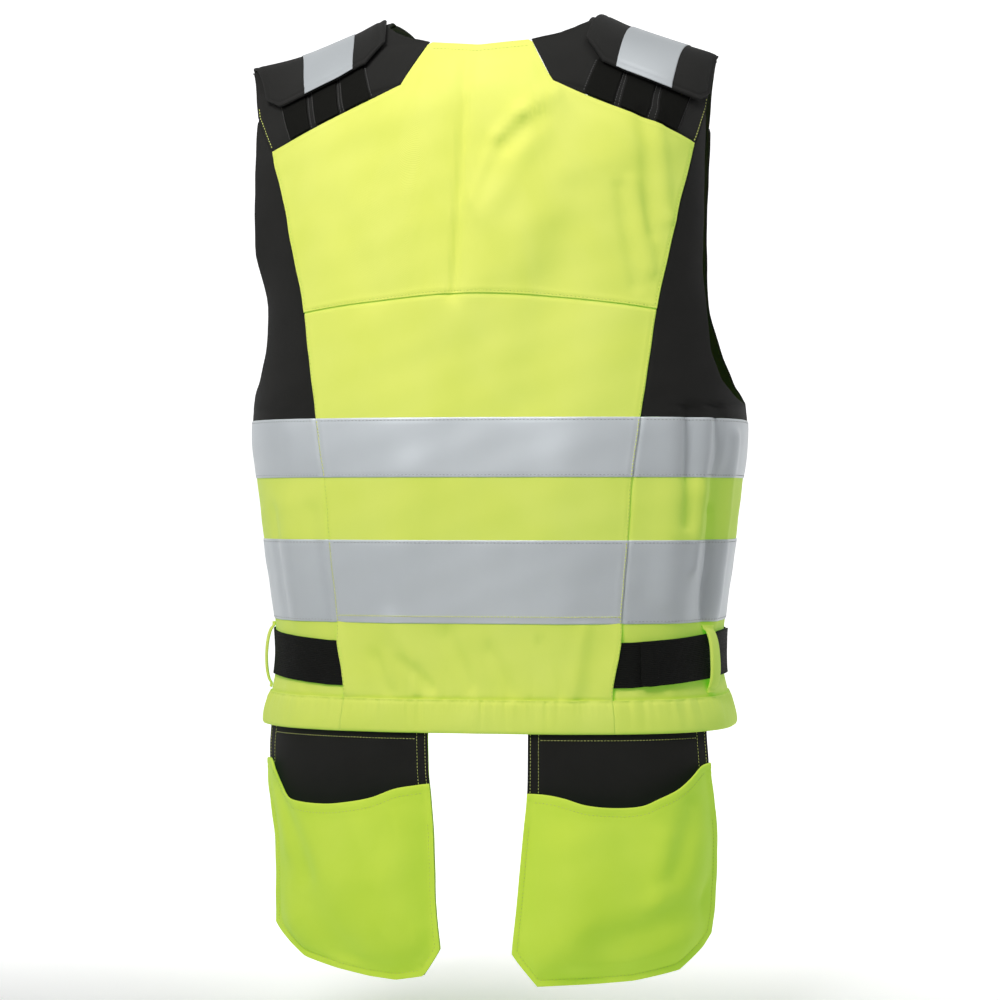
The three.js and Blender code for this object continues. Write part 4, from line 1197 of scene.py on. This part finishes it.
def belt_loop(side, sign, middle):
    """A folded strip that arches over the strap and is sewn down at both ends."""
    width, length = LOOP_WIDTH, LOOP_BOTTOM - LOOP_TOP
    across = np.linspace(-0.5, 0.5, 13)
    along = np.linspace(0, 1, 49)
    u, v = np.meshgrid(across, along)
    row = LOOP_TOP + length * v
    angle = middle + np.degrees(u * width / CHEST_HALF_WIDTH) * 1.1
    risen = np.clip((v - LOOP_FLAT_END) / (1 - 2 * LOOP_FLAT_END), 0, 1)
    arch = np.sin(np.pi * risen) ** 0.55
    base = LAYER_GAP + (LOOP_FACE + LOOP_STAND) * arch
    crown = LOOP_CROWN * np.sqrt(np.clip(1 - (2 * u) ** 4, 0, 1))
    surface = body_point(sign * angle, run_at(angle, row))
    normal = body_normal(sign * angle, run_at(angle, row))
    outer = base + STRAP_WALL + crown
    inner = base
    return walled(
        f"belt_loop_{side}_cloth",
        surface + normal * outer[..., None], surface + normal * inner[..., None]
    )


for side, sign in SIDES:
    loop = belt_loop(side, sign, LOOP_ANGLES[side])
    fit(loop, yellow_cloth, "yellow_cloth", f"belt_loop_{side}")

# Hem casing: a turned hem in three pieces, puffed by the cloth folded inside it and
# puckered along its upper seam.
HEM_SEAM_ANGLE = 44.6
HEM_PUFF = 0.001
HEM_FACE = 0.0008
HEM_INSIDE = 0.0018
SEAM_VALLEY = 0.0005
CREASE_REACH = 0.011
LOWER_BEND = 0.0026
PUCKER = 0.0006


def hem_piece(name, place, width, node):
    """A length of casing: a shallow tube of cloth, creased most beside its seam."""
    along = graded(HEM_HEIGHT, 0.002, "free", "free")
    across = np.linspace(0, 1, int(width / 0.0016))
    u, v = np.meshgrid(across, along / HEM_HEIGHT)
    angle, run = place(u, v)
    surface = body_point(angle, run)
    normal = body_normal(angle, run)
    puff = np.sin(np.pi * np.clip(v * 0.93 + 0.07, 0, 1)) ** 0.6
    down = v * HEM_HEIGHT
    turn = np.radians(angle)
    crease = np.sin(turn * 83 + 2 * np.sin(turn * 13)) * (0.6 + 0.4 * np.sin(turn * 29 + 1))
    finer = np.sin(turn * 187 + 3 * np.sin(turn * 7 + 2))
    near_seam = np.exp(-((down / CREASE_REACH) ** 2))
    waves = PUCKER * (crease * (0.35 + 0.65 * near_seam) + 0.45 * finer * near_seam)
    valley = SEAM_VALLEY * np.exp(-(((down - 0.0018) / 0.0012) ** 2))
    outer = HEM_FACE + HEM_PUFF * puff + waves * np.clip(down / 0.0015, 0.2, 1) - valley
    inner = -HEM_INSIDE - 0.0006 * puff
    from_end = (1 - v) * HEM_HEIGHT
    bend = np.clip(1 - from_end / LOWER_BEND, 0, 1)
    closing = 1 - np.sqrt(np.clip(1 - bend**2, 0, 1))
    middle = (outer + inner) / 2
    outer = outer + (middle + 0.0002 - outer) * closing
    inner = inner + (middle - 0.0002 - inner) * closing
    piece = walled(name, surface + normal * outer[..., None], surface + normal * inner[..., None])
    fit(piece, yellow_cloth, "yellow_cloth", node)


def hem_back_place(u, v):
    angle = (2 * u - 1) * HEM_SEAM_ANGLE
    return angle, run_at(angle, HEM_TOP + HEM_HEIGHT * v)


hem_piece("hem_back_casing", hem_back_place, 0.29, "hem_back")
for side, sign in SIDES:
    def hem_side_place(u, v, sign=sign):
        angle = HEM_SEAM_ANGLE + (180 - ZIP_ANGLE - HEM_SEAM_ANGLE) * u
        return sign * angle, run_at(angle, HEM_TOP + HEM_HEIGHT * v)

    hem_piece(f"hem_side_{side}_casing", hem_side_place, 0.42, f"hem_side_{side}")

# Holster pockets: a yellow rear layer and a black backing that hang from the hem, and a
# yellow pouch that bulges off the backing and gapes a little at its mouth.
POCKET_TOP = BACK_LENGTH - 0.016
POCKET_LENGTH = 0.225
POCKET_WALL = 0.0014
POUCH_DEPTH = 0.02
POUCH_WALL = 0.0016
POUCH_CORNER = 0.007
BULGE_REACH = 0.026
MOUTH_BULGE = 0.66
BACKING_FACE = -0.0031
POUCH_FLANGE = 0.006
POUCH_STITCH = 0.0052
MOUTH_HEM = 0.0095
MOUTH_STITCH = 0.0072
# down, then the angles of the inner edge and the outer edge, for the left and the right
POCKET_SIDES = {
    "left": np.array([
        (0.0, 17.8, 71.0), (0.2, 17.1, 71.4), (0.3, 16.2, 71.0), (0.4, 15.4, 68.4),
        (0.52, 14.9, 66.7), (0.72, 14.2, 66.6), (0.88, 12.8, 66.9), (1.0, 12.8, 66.9),
    ]),
    "right": np.array([
        (0.0, 19.3, 69.6), (0.2, 19.0, 70.2), (0.3, 18.8, 71.4), (0.4, 17.9, 72.8),
        (0.52, 16.8, 73.6), (0.72, 15.1, 73.0), (0.88, 13.6, 71.0), (1.0, 13.6, 70.5),
    ]),
}
# across from the inner edge, then down: the lower edge and the mouth
POCKET_BOTTOM = {
    "left": np.array([
        (0.0, 0.876), (0.105, 0.976), (0.277, 0.994), (0.427, 0.985), (0.606, 0.964),
        (0.784, 0.933), (0.872, 0.893), (1.0, 0.823),
    ]),
    "right": np.array([
        (0.0, 0.885), (0.05, 0.926), (0.151, 1.003), (0.378, 0.994), (0.624, 0.982),
        (0.828, 0.952), (0.951, 0.878), (1.0, 0.832),
    ]),
}
POCKET_MOUTH = {
    "left": np.array([
        (0.0, 0.26), (0.072, 0.265), (0.2, 0.278), (0.331, 0.311), (0.445, 0.329),
        (0.577, 0.342), (0.735, 0.34), (0.8, 0.325), (0.842, 0.283), (0.873, 0.224),
        (0.921, 0.2), (1.0, 0.199),
    ]),
    "right": np.array([
        (0.0, 0.291), (0.126, 0.293), (0.225, 0.304), (0.34, 0.326), (0.487, 0.338),
        (0.598, 0.332), (0.67, 0.308), (0.761, 0.277), (0.839, 0.24), (0.92, 0.203),
        (1.0, 0.19),
    ]),
}
# Soft dents and ridges on each pouch: across and down at both ends, spread and height
POUCH_FOLDS = {
    "left": (
        (0.86, 0.3, 0.72, 0.62, 0.010, -0.0045),
        (0.8, 0.62, 0.55, 0.9, 0.020, -0.0060),
        (0.45, 0.35, 0.35, 0.62, 0.014, 0.0022),
        (0.3, 0.45, 0.45, 0.75, 0.012, -0.0018),
        (0.2, 0.75, 0.1, 0.86, 0.010, 0.0020),
        (0.12, 0.9, 0.06, 0.84, 0.007, -0.0022),
    ),
    "right": (
        (0.5, 0.36, 0.6, 0.62, 0.016, -0.0042),
        (0.25, 0.5, 0.34, 0.85, 0.022, 0.0042),
        (0.82, 0.35, 0.7, 0.6, 0.009, -0.0032),
        (0.68, 0.45, 0.66, 0.68, 0.008, 0.0026),
        (0.5, 0.84, 0.92, 0.7, 0.018, -0.0052),
    ),
}
POCKET_NOMINAL_WIDTH = 0.165
# A darker, greener copy of the yellow twill with a stronger painted glow, for the pouches and rear
# layers: painted shade for pockets that hang low and far from the lights.
shaded_pouch_cloth = cloth_material(
    "pouch_twill_painted_shade", (0.64, 0.57, 0.085), (0.60, 0.54, 0.065), (0.01, 0.235, 0.0),
    roughness=0.8, sheen=0.08, pitch=0.0009, twill=0.75, nap=0.4, bump=0.35
)


def pocket_spot(side, sign, u, down):
    """Angle and run on a pocket from shares across it and down it."""
    rows = POCKET_SIDES[side]
    inner = smooth_column(rows, down, 1)
    outer = smooth_column(rows, down, 2)
    angle = sign * (inner + (outer - inner) * u)
    return angle, run_at(angle, POCKET_TOP + down * POCKET_LENGTH)


def pocket_bottom(side, u):
    return np.interp(u, POCKET_BOTTOM[side][:, 0], POCKET_BOTTOM[side][:, 1])


def pocket_layer(name, side, sign, face, material, slot, node):
    """One flat layer of a pocket, cut to its slanted sides and lower edge."""
    def place(u, v):
        return pocket_spot(side, sign, u, v * pocket_bottom(side, u))
    piece = cloth_panel(
        name, place, POCKET_NOMINAL_WIDTH, POCKET_LENGTH, ("flat",) * 4, step=0.004, base=face,
        wall=POCKET_WALL
    )
    fit(piece, material, slot, node)
    return piece


SIDE_POINTS = 60
BOTTOM_POINTS = 160
MOUTH_END = 0.2


def pocket_outline(side, inset):
    """The pouch's sides and lower edge, set in from its own edge, as across and down."""
    down = np.linspace(0.3, 1, SIDE_POINTS)
    bottom = np.linspace(0, 1, BOTTOM_POINTS)
    inner_end = POCKET_BOTTOM[side][0, 1]
    outer_end = POCKET_BOTTOM[side][-1, 1]
    left = np.stack([np.zeros(SIDE_POINTS), MOUTH_END + (inner_end - MOUTH_END) * down], -1)
    below = np.stack([bottom, pocket_bottom(side, bottom)], -1)
    right = np.stack([np.ones(SIDE_POINTS), MOUTH_END + (outer_end - MOUTH_END) * down[::-1]], -1)
    line = np.concatenate([left, below[1:], right[1:]])
    flat = line * (POCKET_NOMINAL_WIDTH, POCKET_LENGTH)
    if inset == 0:
        return flat
    along = np.gradient(flat, axis=0)
    along = along / np.linalg.norm(along, axis=1, keepdims=True)
    moved = flat + np.stack([along[:, 1], -along[:, 0]], -1) * inset
    gaps = np.linalg.norm(moved[:, None] - flat[None], axis=-1).min(axis=1)
    return moved[gaps > inset * 0.96]


def pouch_distance(side, x, y):
    """How far a place on the pouch is from its sewn sides and lower edge."""
    line = pocket_outline(side, 0)
    start, step = line[:-1], np.diff(line, axis=0)
    best = np.full(x.shape, 1.0)
    for (ax, ay), (bx, by) in zip(start, step):
        share = np.clip(((x - ax) * bx + (y - ay) * by) / (bx * bx + by * by), 0, 1)
        best = np.minimum(best, np.hypot(x - ax - share * bx, y - ay - share * by))
    return best


def pocket_pouch(side, sign):
    """The pouch: flat along its sewn edges, bulging inside them, hemmed at its mouth."""
    width, length = POCKET_NOMINAL_WIDTH, 0.16
    across = graded(width, 0.0032, "flat", "flat") / width
    along = graded(length, 0.0032, "flat", "flat") / length
    u, v = np.meshgrid(across, along)
    mouth = smooth_column(POCKET_MOUTH[side], u, 1)
    down = mouth + (pocket_bottom(side, u) - mouth) * v
    angle, run = pocket_spot(side, sign, u, down)
    surface = body_point(angle, run)
    normal = body_normal(angle, run)
    distance = pouch_distance(side, u * width, down * POCKET_LENGTH)
    from_mouth = v * length
    near = np.exp(-u * width / POUCH_CORNER) + np.exp(-(1 - u) * width / POUCH_CORNER)
    near = near + np.exp(-(1 - v) * length / (POUCH_CORNER * 0.8))
    inside = np.minimum(-POUCH_CORNER * np.log(near), distance + POUCH_CORNER)
    inside = np.maximum(inside - POUCH_FLANGE, 0)
    inside = np.where(distance < POUCH_FLANGE, 0, inside)
    rise = 1 - np.exp(-((inside / BULGE_REACH) ** 1.35))
    mouth_share = MOUTH_BULGE + (1 - MOUTH_BULGE) * np.clip(v / 0.45, 0, 1)
    stand = POUCH_DEPTH * rise * mouth_share
    fade = np.clip((distance - POUCH_FLANGE) / 0.008, 0, 1)
    for ax, ay, bx, by, spread, height in POUCH_FOLDS[side]:
        x, y = (u - ax) * width, (down - ay) * POCKET_LENGTH
        dx, dy = (bx - ax) * width, (by - ay) * POCKET_LENGTH
        share = np.clip((x * dx + y * dy) / (dx * dx + dy * dy), 0, 1)
        away = np.hypot(x - share * dx, y - share * dy)
        stand = stand + height * np.exp(-((away / spread) ** 2)) * fade
    base = BACKING_FACE + LAYER_GAP + np.maximum(stand, 0)
    hem = 1 / (1 + np.exp((from_mouth - MOUTH_HEM) / 0.0006))
    stitch = 0.0005 * np.exp(-(((from_mouth - MOUTH_STITCH) / 0.0009) ** 2))
    edge = 1 / (1 + np.exp((distance - POUCH_FLANGE) / 0.0005))
    sewn = 0.0004 * np.exp(-(((distance - POUCH_STITCH) / 0.0008) ** 2))
    roll = np.clip(1 - from_mouth / 0.0014, 0, 1)
    rounding = 0.0008 * (1 - np.sqrt(np.clip(1 - roll**2, 0, 1)))
    outer = base + POUCH_WALL + 0.0006 * hem - stitch + 0.0005 * edge - sewn - rounding
    inner = base + rounding * 0.8
    name = f"pocket_pouch_{side}_cloth"
    piece = walled(name, surface + normal * outer[..., None], surface + normal * inner[..., None])
    fit(piece, shaded_pouch_cloth, "yellow_cloth", f"pocket_pouch_{side}")
    return piece


pocket_pieces = {}
for side, sign in SIDES:
    pocket_pieces[side] = (
        pocket_layer(f"pocket_backing_{side}_cloth", side, sign, BACKING_FACE, black_cloth,
                     "black_cloth", f"pocket_backing_{side}"),
        pocket_pouch(side, sign),
    )
    pocket_layer(f"pocket_rear_{side}_cloth", side, sign, BACKING_FACE - POCKET_WALL - LAYER_GAP,
                 shaded_pouch_cloth, "yellow_cloth", f"pocket_rear_{side}")

# Centre-front zip: black ribbed zip tape with a raised row of teeth down its middle.
# It is sewn between the front panels, from the neck to the hem.
ZIP_TOP = 0.42 * UPPER_TAPE_TOP
TOOTH_PITCH = 0.003


def zip_place(u, v):
    angle = 180 + (2 * u - 1) * ZIP_ANGLE
    return angle, run_at(180 + 0 * angle, ZIP_TOP + (BACK_LENGTH - ZIP_TOP) * v)


def teeth(u, v):
    """A raised band down the middle, notched at every tooth."""
    middle = np.exp(-(((u - 0.5) * ZIP_WIDTH / 0.0026) ** 4))
    turns = v * (BACK_LENGTH - ZIP_TOP) / TOOTH_PITCH
    return middle * (0.0012 + 0.0005 * np.sign(np.sin(2 * np.pi * turns)))


front_zip = cloth_panel(
    "front_zip_tape", zip_place, ZIP_WIDTH, BACK_LENGTH - ZIP_TOP, ("flat",) * 4, step=0.0015,
    relief=teeth
)
fit(front_zip, black_elastic, "zip", "front_zip")

# Zip slider: dark plated metal, cast. It has a waisted body that rides on the teeth, a
# bridge on top and a flat pull that hangs from the bridge.


def slider_material():
    """Dark plated metal, cloudy in its colour and its gloss."""
    material, tree, shader, place = new_material("dark_slider_metal")
    cloud = tone(
        tree, shader, place.outputs["Object"], (0.03, 0.03, 0.032), (0.075, 0.075, 0.08),
        scale=420, detail=4, high=0.75
    )
    gloss = tree.nodes.new("ShaderNodeMapRange")
    gloss.inputs["To Min"].default_value = 0.28
    gloss.inputs["To Max"].default_value = 0.5
    tree.links.new(cloud, gloss.inputs["Value"])
    tree.links.new(gloss.outputs[0], shader.inputs["Roughness"])
    shader.inputs["Metallic"].default_value = 0.85
    return material


slider_metal = slider_material()


def slider_layer(name, start, length, half_width, low, high):
    """A rounded layer of the slider. half_width gives its outline from shares along it."""
    along = (1 - np.cos(np.linspace(0, np.pi, 41))) / 2
    across = np.sin(np.linspace(-np.pi / 2, np.pi / 2, 25))
    u, v = np.meshgrid(across, along)
    ends = np.sqrt(np.clip(1 - np.clip(np.abs(2 * v - 1) * 1.18 - 0.18, 0, 1) ** 3, 0, 1))
    side = u * half_width(v) * (0.55 + 0.45 * ends)
    angle = 180 + np.degrees(side / CHEST_HALF_DEPTH)
    run = run_at(180 + 0 * angle, ZIP_TOP + start + length * v)
    surface = body_point(angle, run)
    normal = body_normal(angle, run)
    edge = np.minimum((1 - np.abs(u)) * 3.2, np.minimum(v, 1 - v) * 9)
    round_off = (high - low) * 0.45 * (1 - np.sqrt(np.clip(1 - np.clip(1 - edge, 0, 1) ** 2, 0, 1)))
    outer = surface + normal * (high - round_off)[..., None]
    inner = surface + normal * (low + round_off * 0.6)[..., None]
    piece = walled(name, outer, inner)
    return fit(piece, slider_metal, "zip", "zip_slider")


def waisted(v):
    """Half the body's width: drawn in at its middle and narrower at its lower end."""
    return 0.0048 - 0.0013 * np.sin(np.pi * v) ** 2 - 0.0008 * v


slider_layer(
    "zip_slider_body", start=0.0006, length=0.0125, half_width=waisted, low=0.0004, high=0.0029
)
slider_layer(
    "zip_slider_bridge", start=0.0022, length=0.0085, half_width=lambda v: 0.0011 + 0 * v,
    low=0.0026, high=0.0041
)
slider_layer(
    "zip_slider_pull", start=0.006, length=0.0165, half_width=lambda v: 0.0024 + 0.0014 * v,
    low=0.0031, high=0.0043
)

# Stitches: short raised threads along the seams and edges of the back panels, the tapes, the
# shoulder yokes, the loop strips and the pockets, laid on the piece that they hold. Every row is
# one piece of thread of one colour.
STITCH_PITCH = 0.0032
STITCH_LENGTH = 0.0024
STITCH_WIDTH = 0.0006
THREAD_SUNK = 0.0002
SEARCH_FROM = 0.04
SEARCH_LENGTH = 0.06


def thread_material(name, colour):
    """Spun thread, darker between its strands."""
    material, tree, shader, place = new_material(name)
    shaded = tuple(0.75 * part for part in colour)
    tone(
        tree, shader, place.outputs["Object"], shaded, colour, scale=1500, detail=2, low=0.35,
        high=0.65
    )
    shader.inputs["Roughness"].default_value = 0.6
    shader.inputs["Sheen Weight"].default_value = 0.2
    return material


yellow_thread = thread_material("yellow_thread", (0.80, 0.88, 0.2))
lime_thread = thread_material("lime_thread", (0.62, 0.74, 0.10))
grey_thread = thread_material("grey_thread", (0.06, 0.06, 0.057))
silver_thread = thread_material("silver_thread", (0.42, 0.44, 0.45))


def stitch_ends(angle, run, pitch, length):
    """Where each stitch begins, is half way and ends along a line on the body."""
    points = body_point(angle, run)
    travel = np.concatenate([[0], np.cumsum(np.linalg.norm(np.diff(points, axis=0), axis=1))])
    starts = np.arange(pitch / 2, travel[-1] - length, pitch)
    places = [starts + share * length for share in (0, 0.5, 1)]
    return [(np.interp(at, travel, angle), np.interp(at, travel, run)) for at in places]


def stitches(name, piece, lines, material, pitch=STITCH_PITCH, length=STITCH_LENGTH,
             width=STITCH_WIDTH):
    """A row of raised stitches on a piece's outer face along lines of angle and run."""
    corners = [vertex.co for vertex in piece.data.vertices]
    tree = BVHTree.FromPolygons(corners, [polygon.vertices for polygon in piece.data.polygons])
    points, faces = [], []
    for angle, run in lines:
        ends = stitch_ends(np.asarray(angle, float), np.asarray(run, float), pitch, length)
        snapped = []
        for at_angle, at_run in ends:
            base = body_point(at_angle, at_run)
            normal = body_normal(at_angle, at_run)
            found = []
            for point, out in zip(base, normal):
                hit = tree.ray_cast(Vector(point + out * SEARCH_FROM), Vector(-out), SEARCH_LENGTH)
                found.append((None, None) if hit[0] is None else (hit[0], hit[1]))
            snapped.append(found)
        for first, middle, last in zip(*snapped):
            if first[0] is None or middle[0] is None or last[0] is None:
                continue
            out = middle[1]
            along = (last[0] - first[0]).normalized()
            side = out.cross(along).normalized()
            at = len(points)
            points.append(first[0] - out * THREAD_SUNK)
            for share in (0.22, 0.78):
                centre = first[0].lerp(last[0], share)
                if share < 0.5:
                    centre = centre.lerp(middle[0], 0.3)
                points.append(centre + out * width * 0.62)
                points.append(centre + side * width * 0.5 + out * width * 0.1)
                points.append(centre - out * width * 0.3)
                points.append(centre - side * width * 0.5 + out * width * 0.1)
            points.append(last[0] - out * THREAD_SUNK)
            for k in range(4):
                after = (k + 1) % 4
                faces.append((at, at + 1 + after, at + 1 + k))
                faces.append((at + 1 + k, at + 1 + after, at + 5 + after, at + 5 + k))
                faces.append((at + 9, at + 5 + k, at + 5 + after))
    mesh = bpy.data.meshes.new(name)
    mesh.from_pydata(points, [], faces)
    mesh.polygons.foreach_set("use_smooth", np.ones(len(mesh.polygons), bool))
    thread = bpy.data.objects.new(name, mesh)
    bpy.context.scene.collection.objects.link(thread)
    thread.data.materials.append(material)
    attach(thread, "root")
    return thread


def line(place, u, v, count=240):
    """Angles and runs of a straight line between two shares on a panel."""
    t = np.linspace(0, 1, count)
    return place(u[0] + (u[1] - u[0]) * t, v[0] + (v[1] - v[0]) * t)


def inset(distance, size):
    """A distance in from both ends of a size, as shares of it."""
    return distance / size, 1 - distance / size


def down_lines(place, shares, start, end):
    """A line down a panel at each share across it."""
    return [line(place, (share, share), (start, end)) for share in shares]


def cross_lines(place, shares, start, end, count=240):
    """A line across a panel at each share down it."""
    return [line(place, (start, end), (share, share), count) for share in shares]


# how far in from an edge the rows of stitches run, where it isn't STITCH_INSET
EDGE_STITCH = 0.0012
NECK_STITCH = 0.0055
LOWER_ROW = 0.006
piece_named = bpy.data.objects
yoke_lines = [
    *down_lines(back_yoke_place, inset(STITCH_INSET, YOKE_WIDTH), 0.02, 0.99),
    *cross_lines(back_yoke_place, inset(STITCH_INSET, YOKE_HEIGHT)[1:], 0.02, 0.98),
    *cross_lines(back_yoke_place, inset(NECK_STITCH, YOKE_HEIGHT)[:1], 0.36, 0.64),
]
stitches("back_yoke_thread", back_yoke, yoke_lines, lime_thread)
for level, top, bottom in TAPE_ROWS:
    strip = piece_named[f"tape_{level}_back_strip"]
    on_tape = between(top, bottom, centre_spot)
    edge_shares = inset(STITCH_INSET, bottom - top)
    rows = down_lines(on_tape, inset(EDGE_STITCH, BACK_TAPE_LENGTH), 0.01, 0.99)
    edges = cross_lines(on_tape, edge_shares, 0.01, 0.99)
    if level == "lower":
        rows += cross_lines(on_tape, inset(LOWER_ROW, bottom - top)[1:], 0.004, 0.996)
        edges = edges[:1]
    stitches(f"tape_{level}_back_thread", strip, rows, yellow_thread,
             pitch=0.0028, width=0.0009)
    stitches(f"tape_{level}_back_edge_thread", strip, edges, silver_thread)
    for side, sign in SIDES:
        strip = piece_named[f"tape_{level}_side_{side}_strip"]
        on_side = between(top, bottom, lower_spot, sign)
        stitches(f"tape_{level}_side_{side}_thread", strip,
                 cross_lines(on_side, edge_shares, 0.01, 0.99, 400), silver_thread)
centre_edges = down_lines(back_centre_place, inset(EDGE_STITCH, CENTRE_WIDTH), 0.0, 1.0)
stitches("back_centre_thread", back_centre, centre_edges, lime_thread)

for side, sign in SIDES:
    yoke = piece_named[f"shoulder_yoke_{side}_cloth"]
    on_yoke = shoulder_place(BACK_SHOULDER, sign, False)
    stitches(f"shoulder_yoke_{side}_thread", yoke,
             down_lines(on_yoke, inset(STITCH_INSET, SHOULDER_WIDTH)[1:], 0.62, 0.99),
             yellow_thread, width=0.0008)
    strip_lines = []
    for strip in LOOP_STRIPS:
        for share in (-0.07, 1.07):
            t = np.linspace(0.25, 1, 60)
            strip_lines.append(strip_spot(sign, strip, share + 0 * t, t))
    stitches(f"shoulder_yoke_{side}_strip_thread", yoke, strip_lines, grey_thread,
             pitch=0.0026, length=0.0023, width=0.0006)
    backing, pouch = pocket_pieces[side]

    def on_pocket(u, v, side=side, sign=sign):
        return pocket_spot(side, sign, u, v)

    inner_end, outer_end = POCKET_MOUTH[side][[0, -1], 1] + 0.02
    edge_lines = [
        *down_lines(on_pocket, (0.018, 0.07), 0.05, inner_end),
        *down_lines(on_pocket, (0.982, 0.93), 0.05, outer_end),
        *cross_lines(on_pocket, (0.094,), 0.07, 0.93),
    ]
    stitches(f"pocket_backing_{side}_thread", backing, edge_lines, yellow_thread,
             pitch=0.0028, width=0.00045)
    sewn = pocket_outline(side, POUCH_STITCH) / (POCKET_NOMINAL_WIDTH, POCKET_LENGTH)
    mouth_u = np.linspace(0.04, 0.96, 200)
    mouth_v = smooth_column(POCKET_MOUTH[side], mouth_u, 1) + MOUTH_STITCH / POCKET_LENGTH
    pouch_lines = [on_pocket(sewn[:, 0], sewn[:, 1]), on_pocket(mouth_u, mouth_v)]
    stitches(f"pocket_pouch_{side}_thread", pouch, pouch_lines, lime_thread)
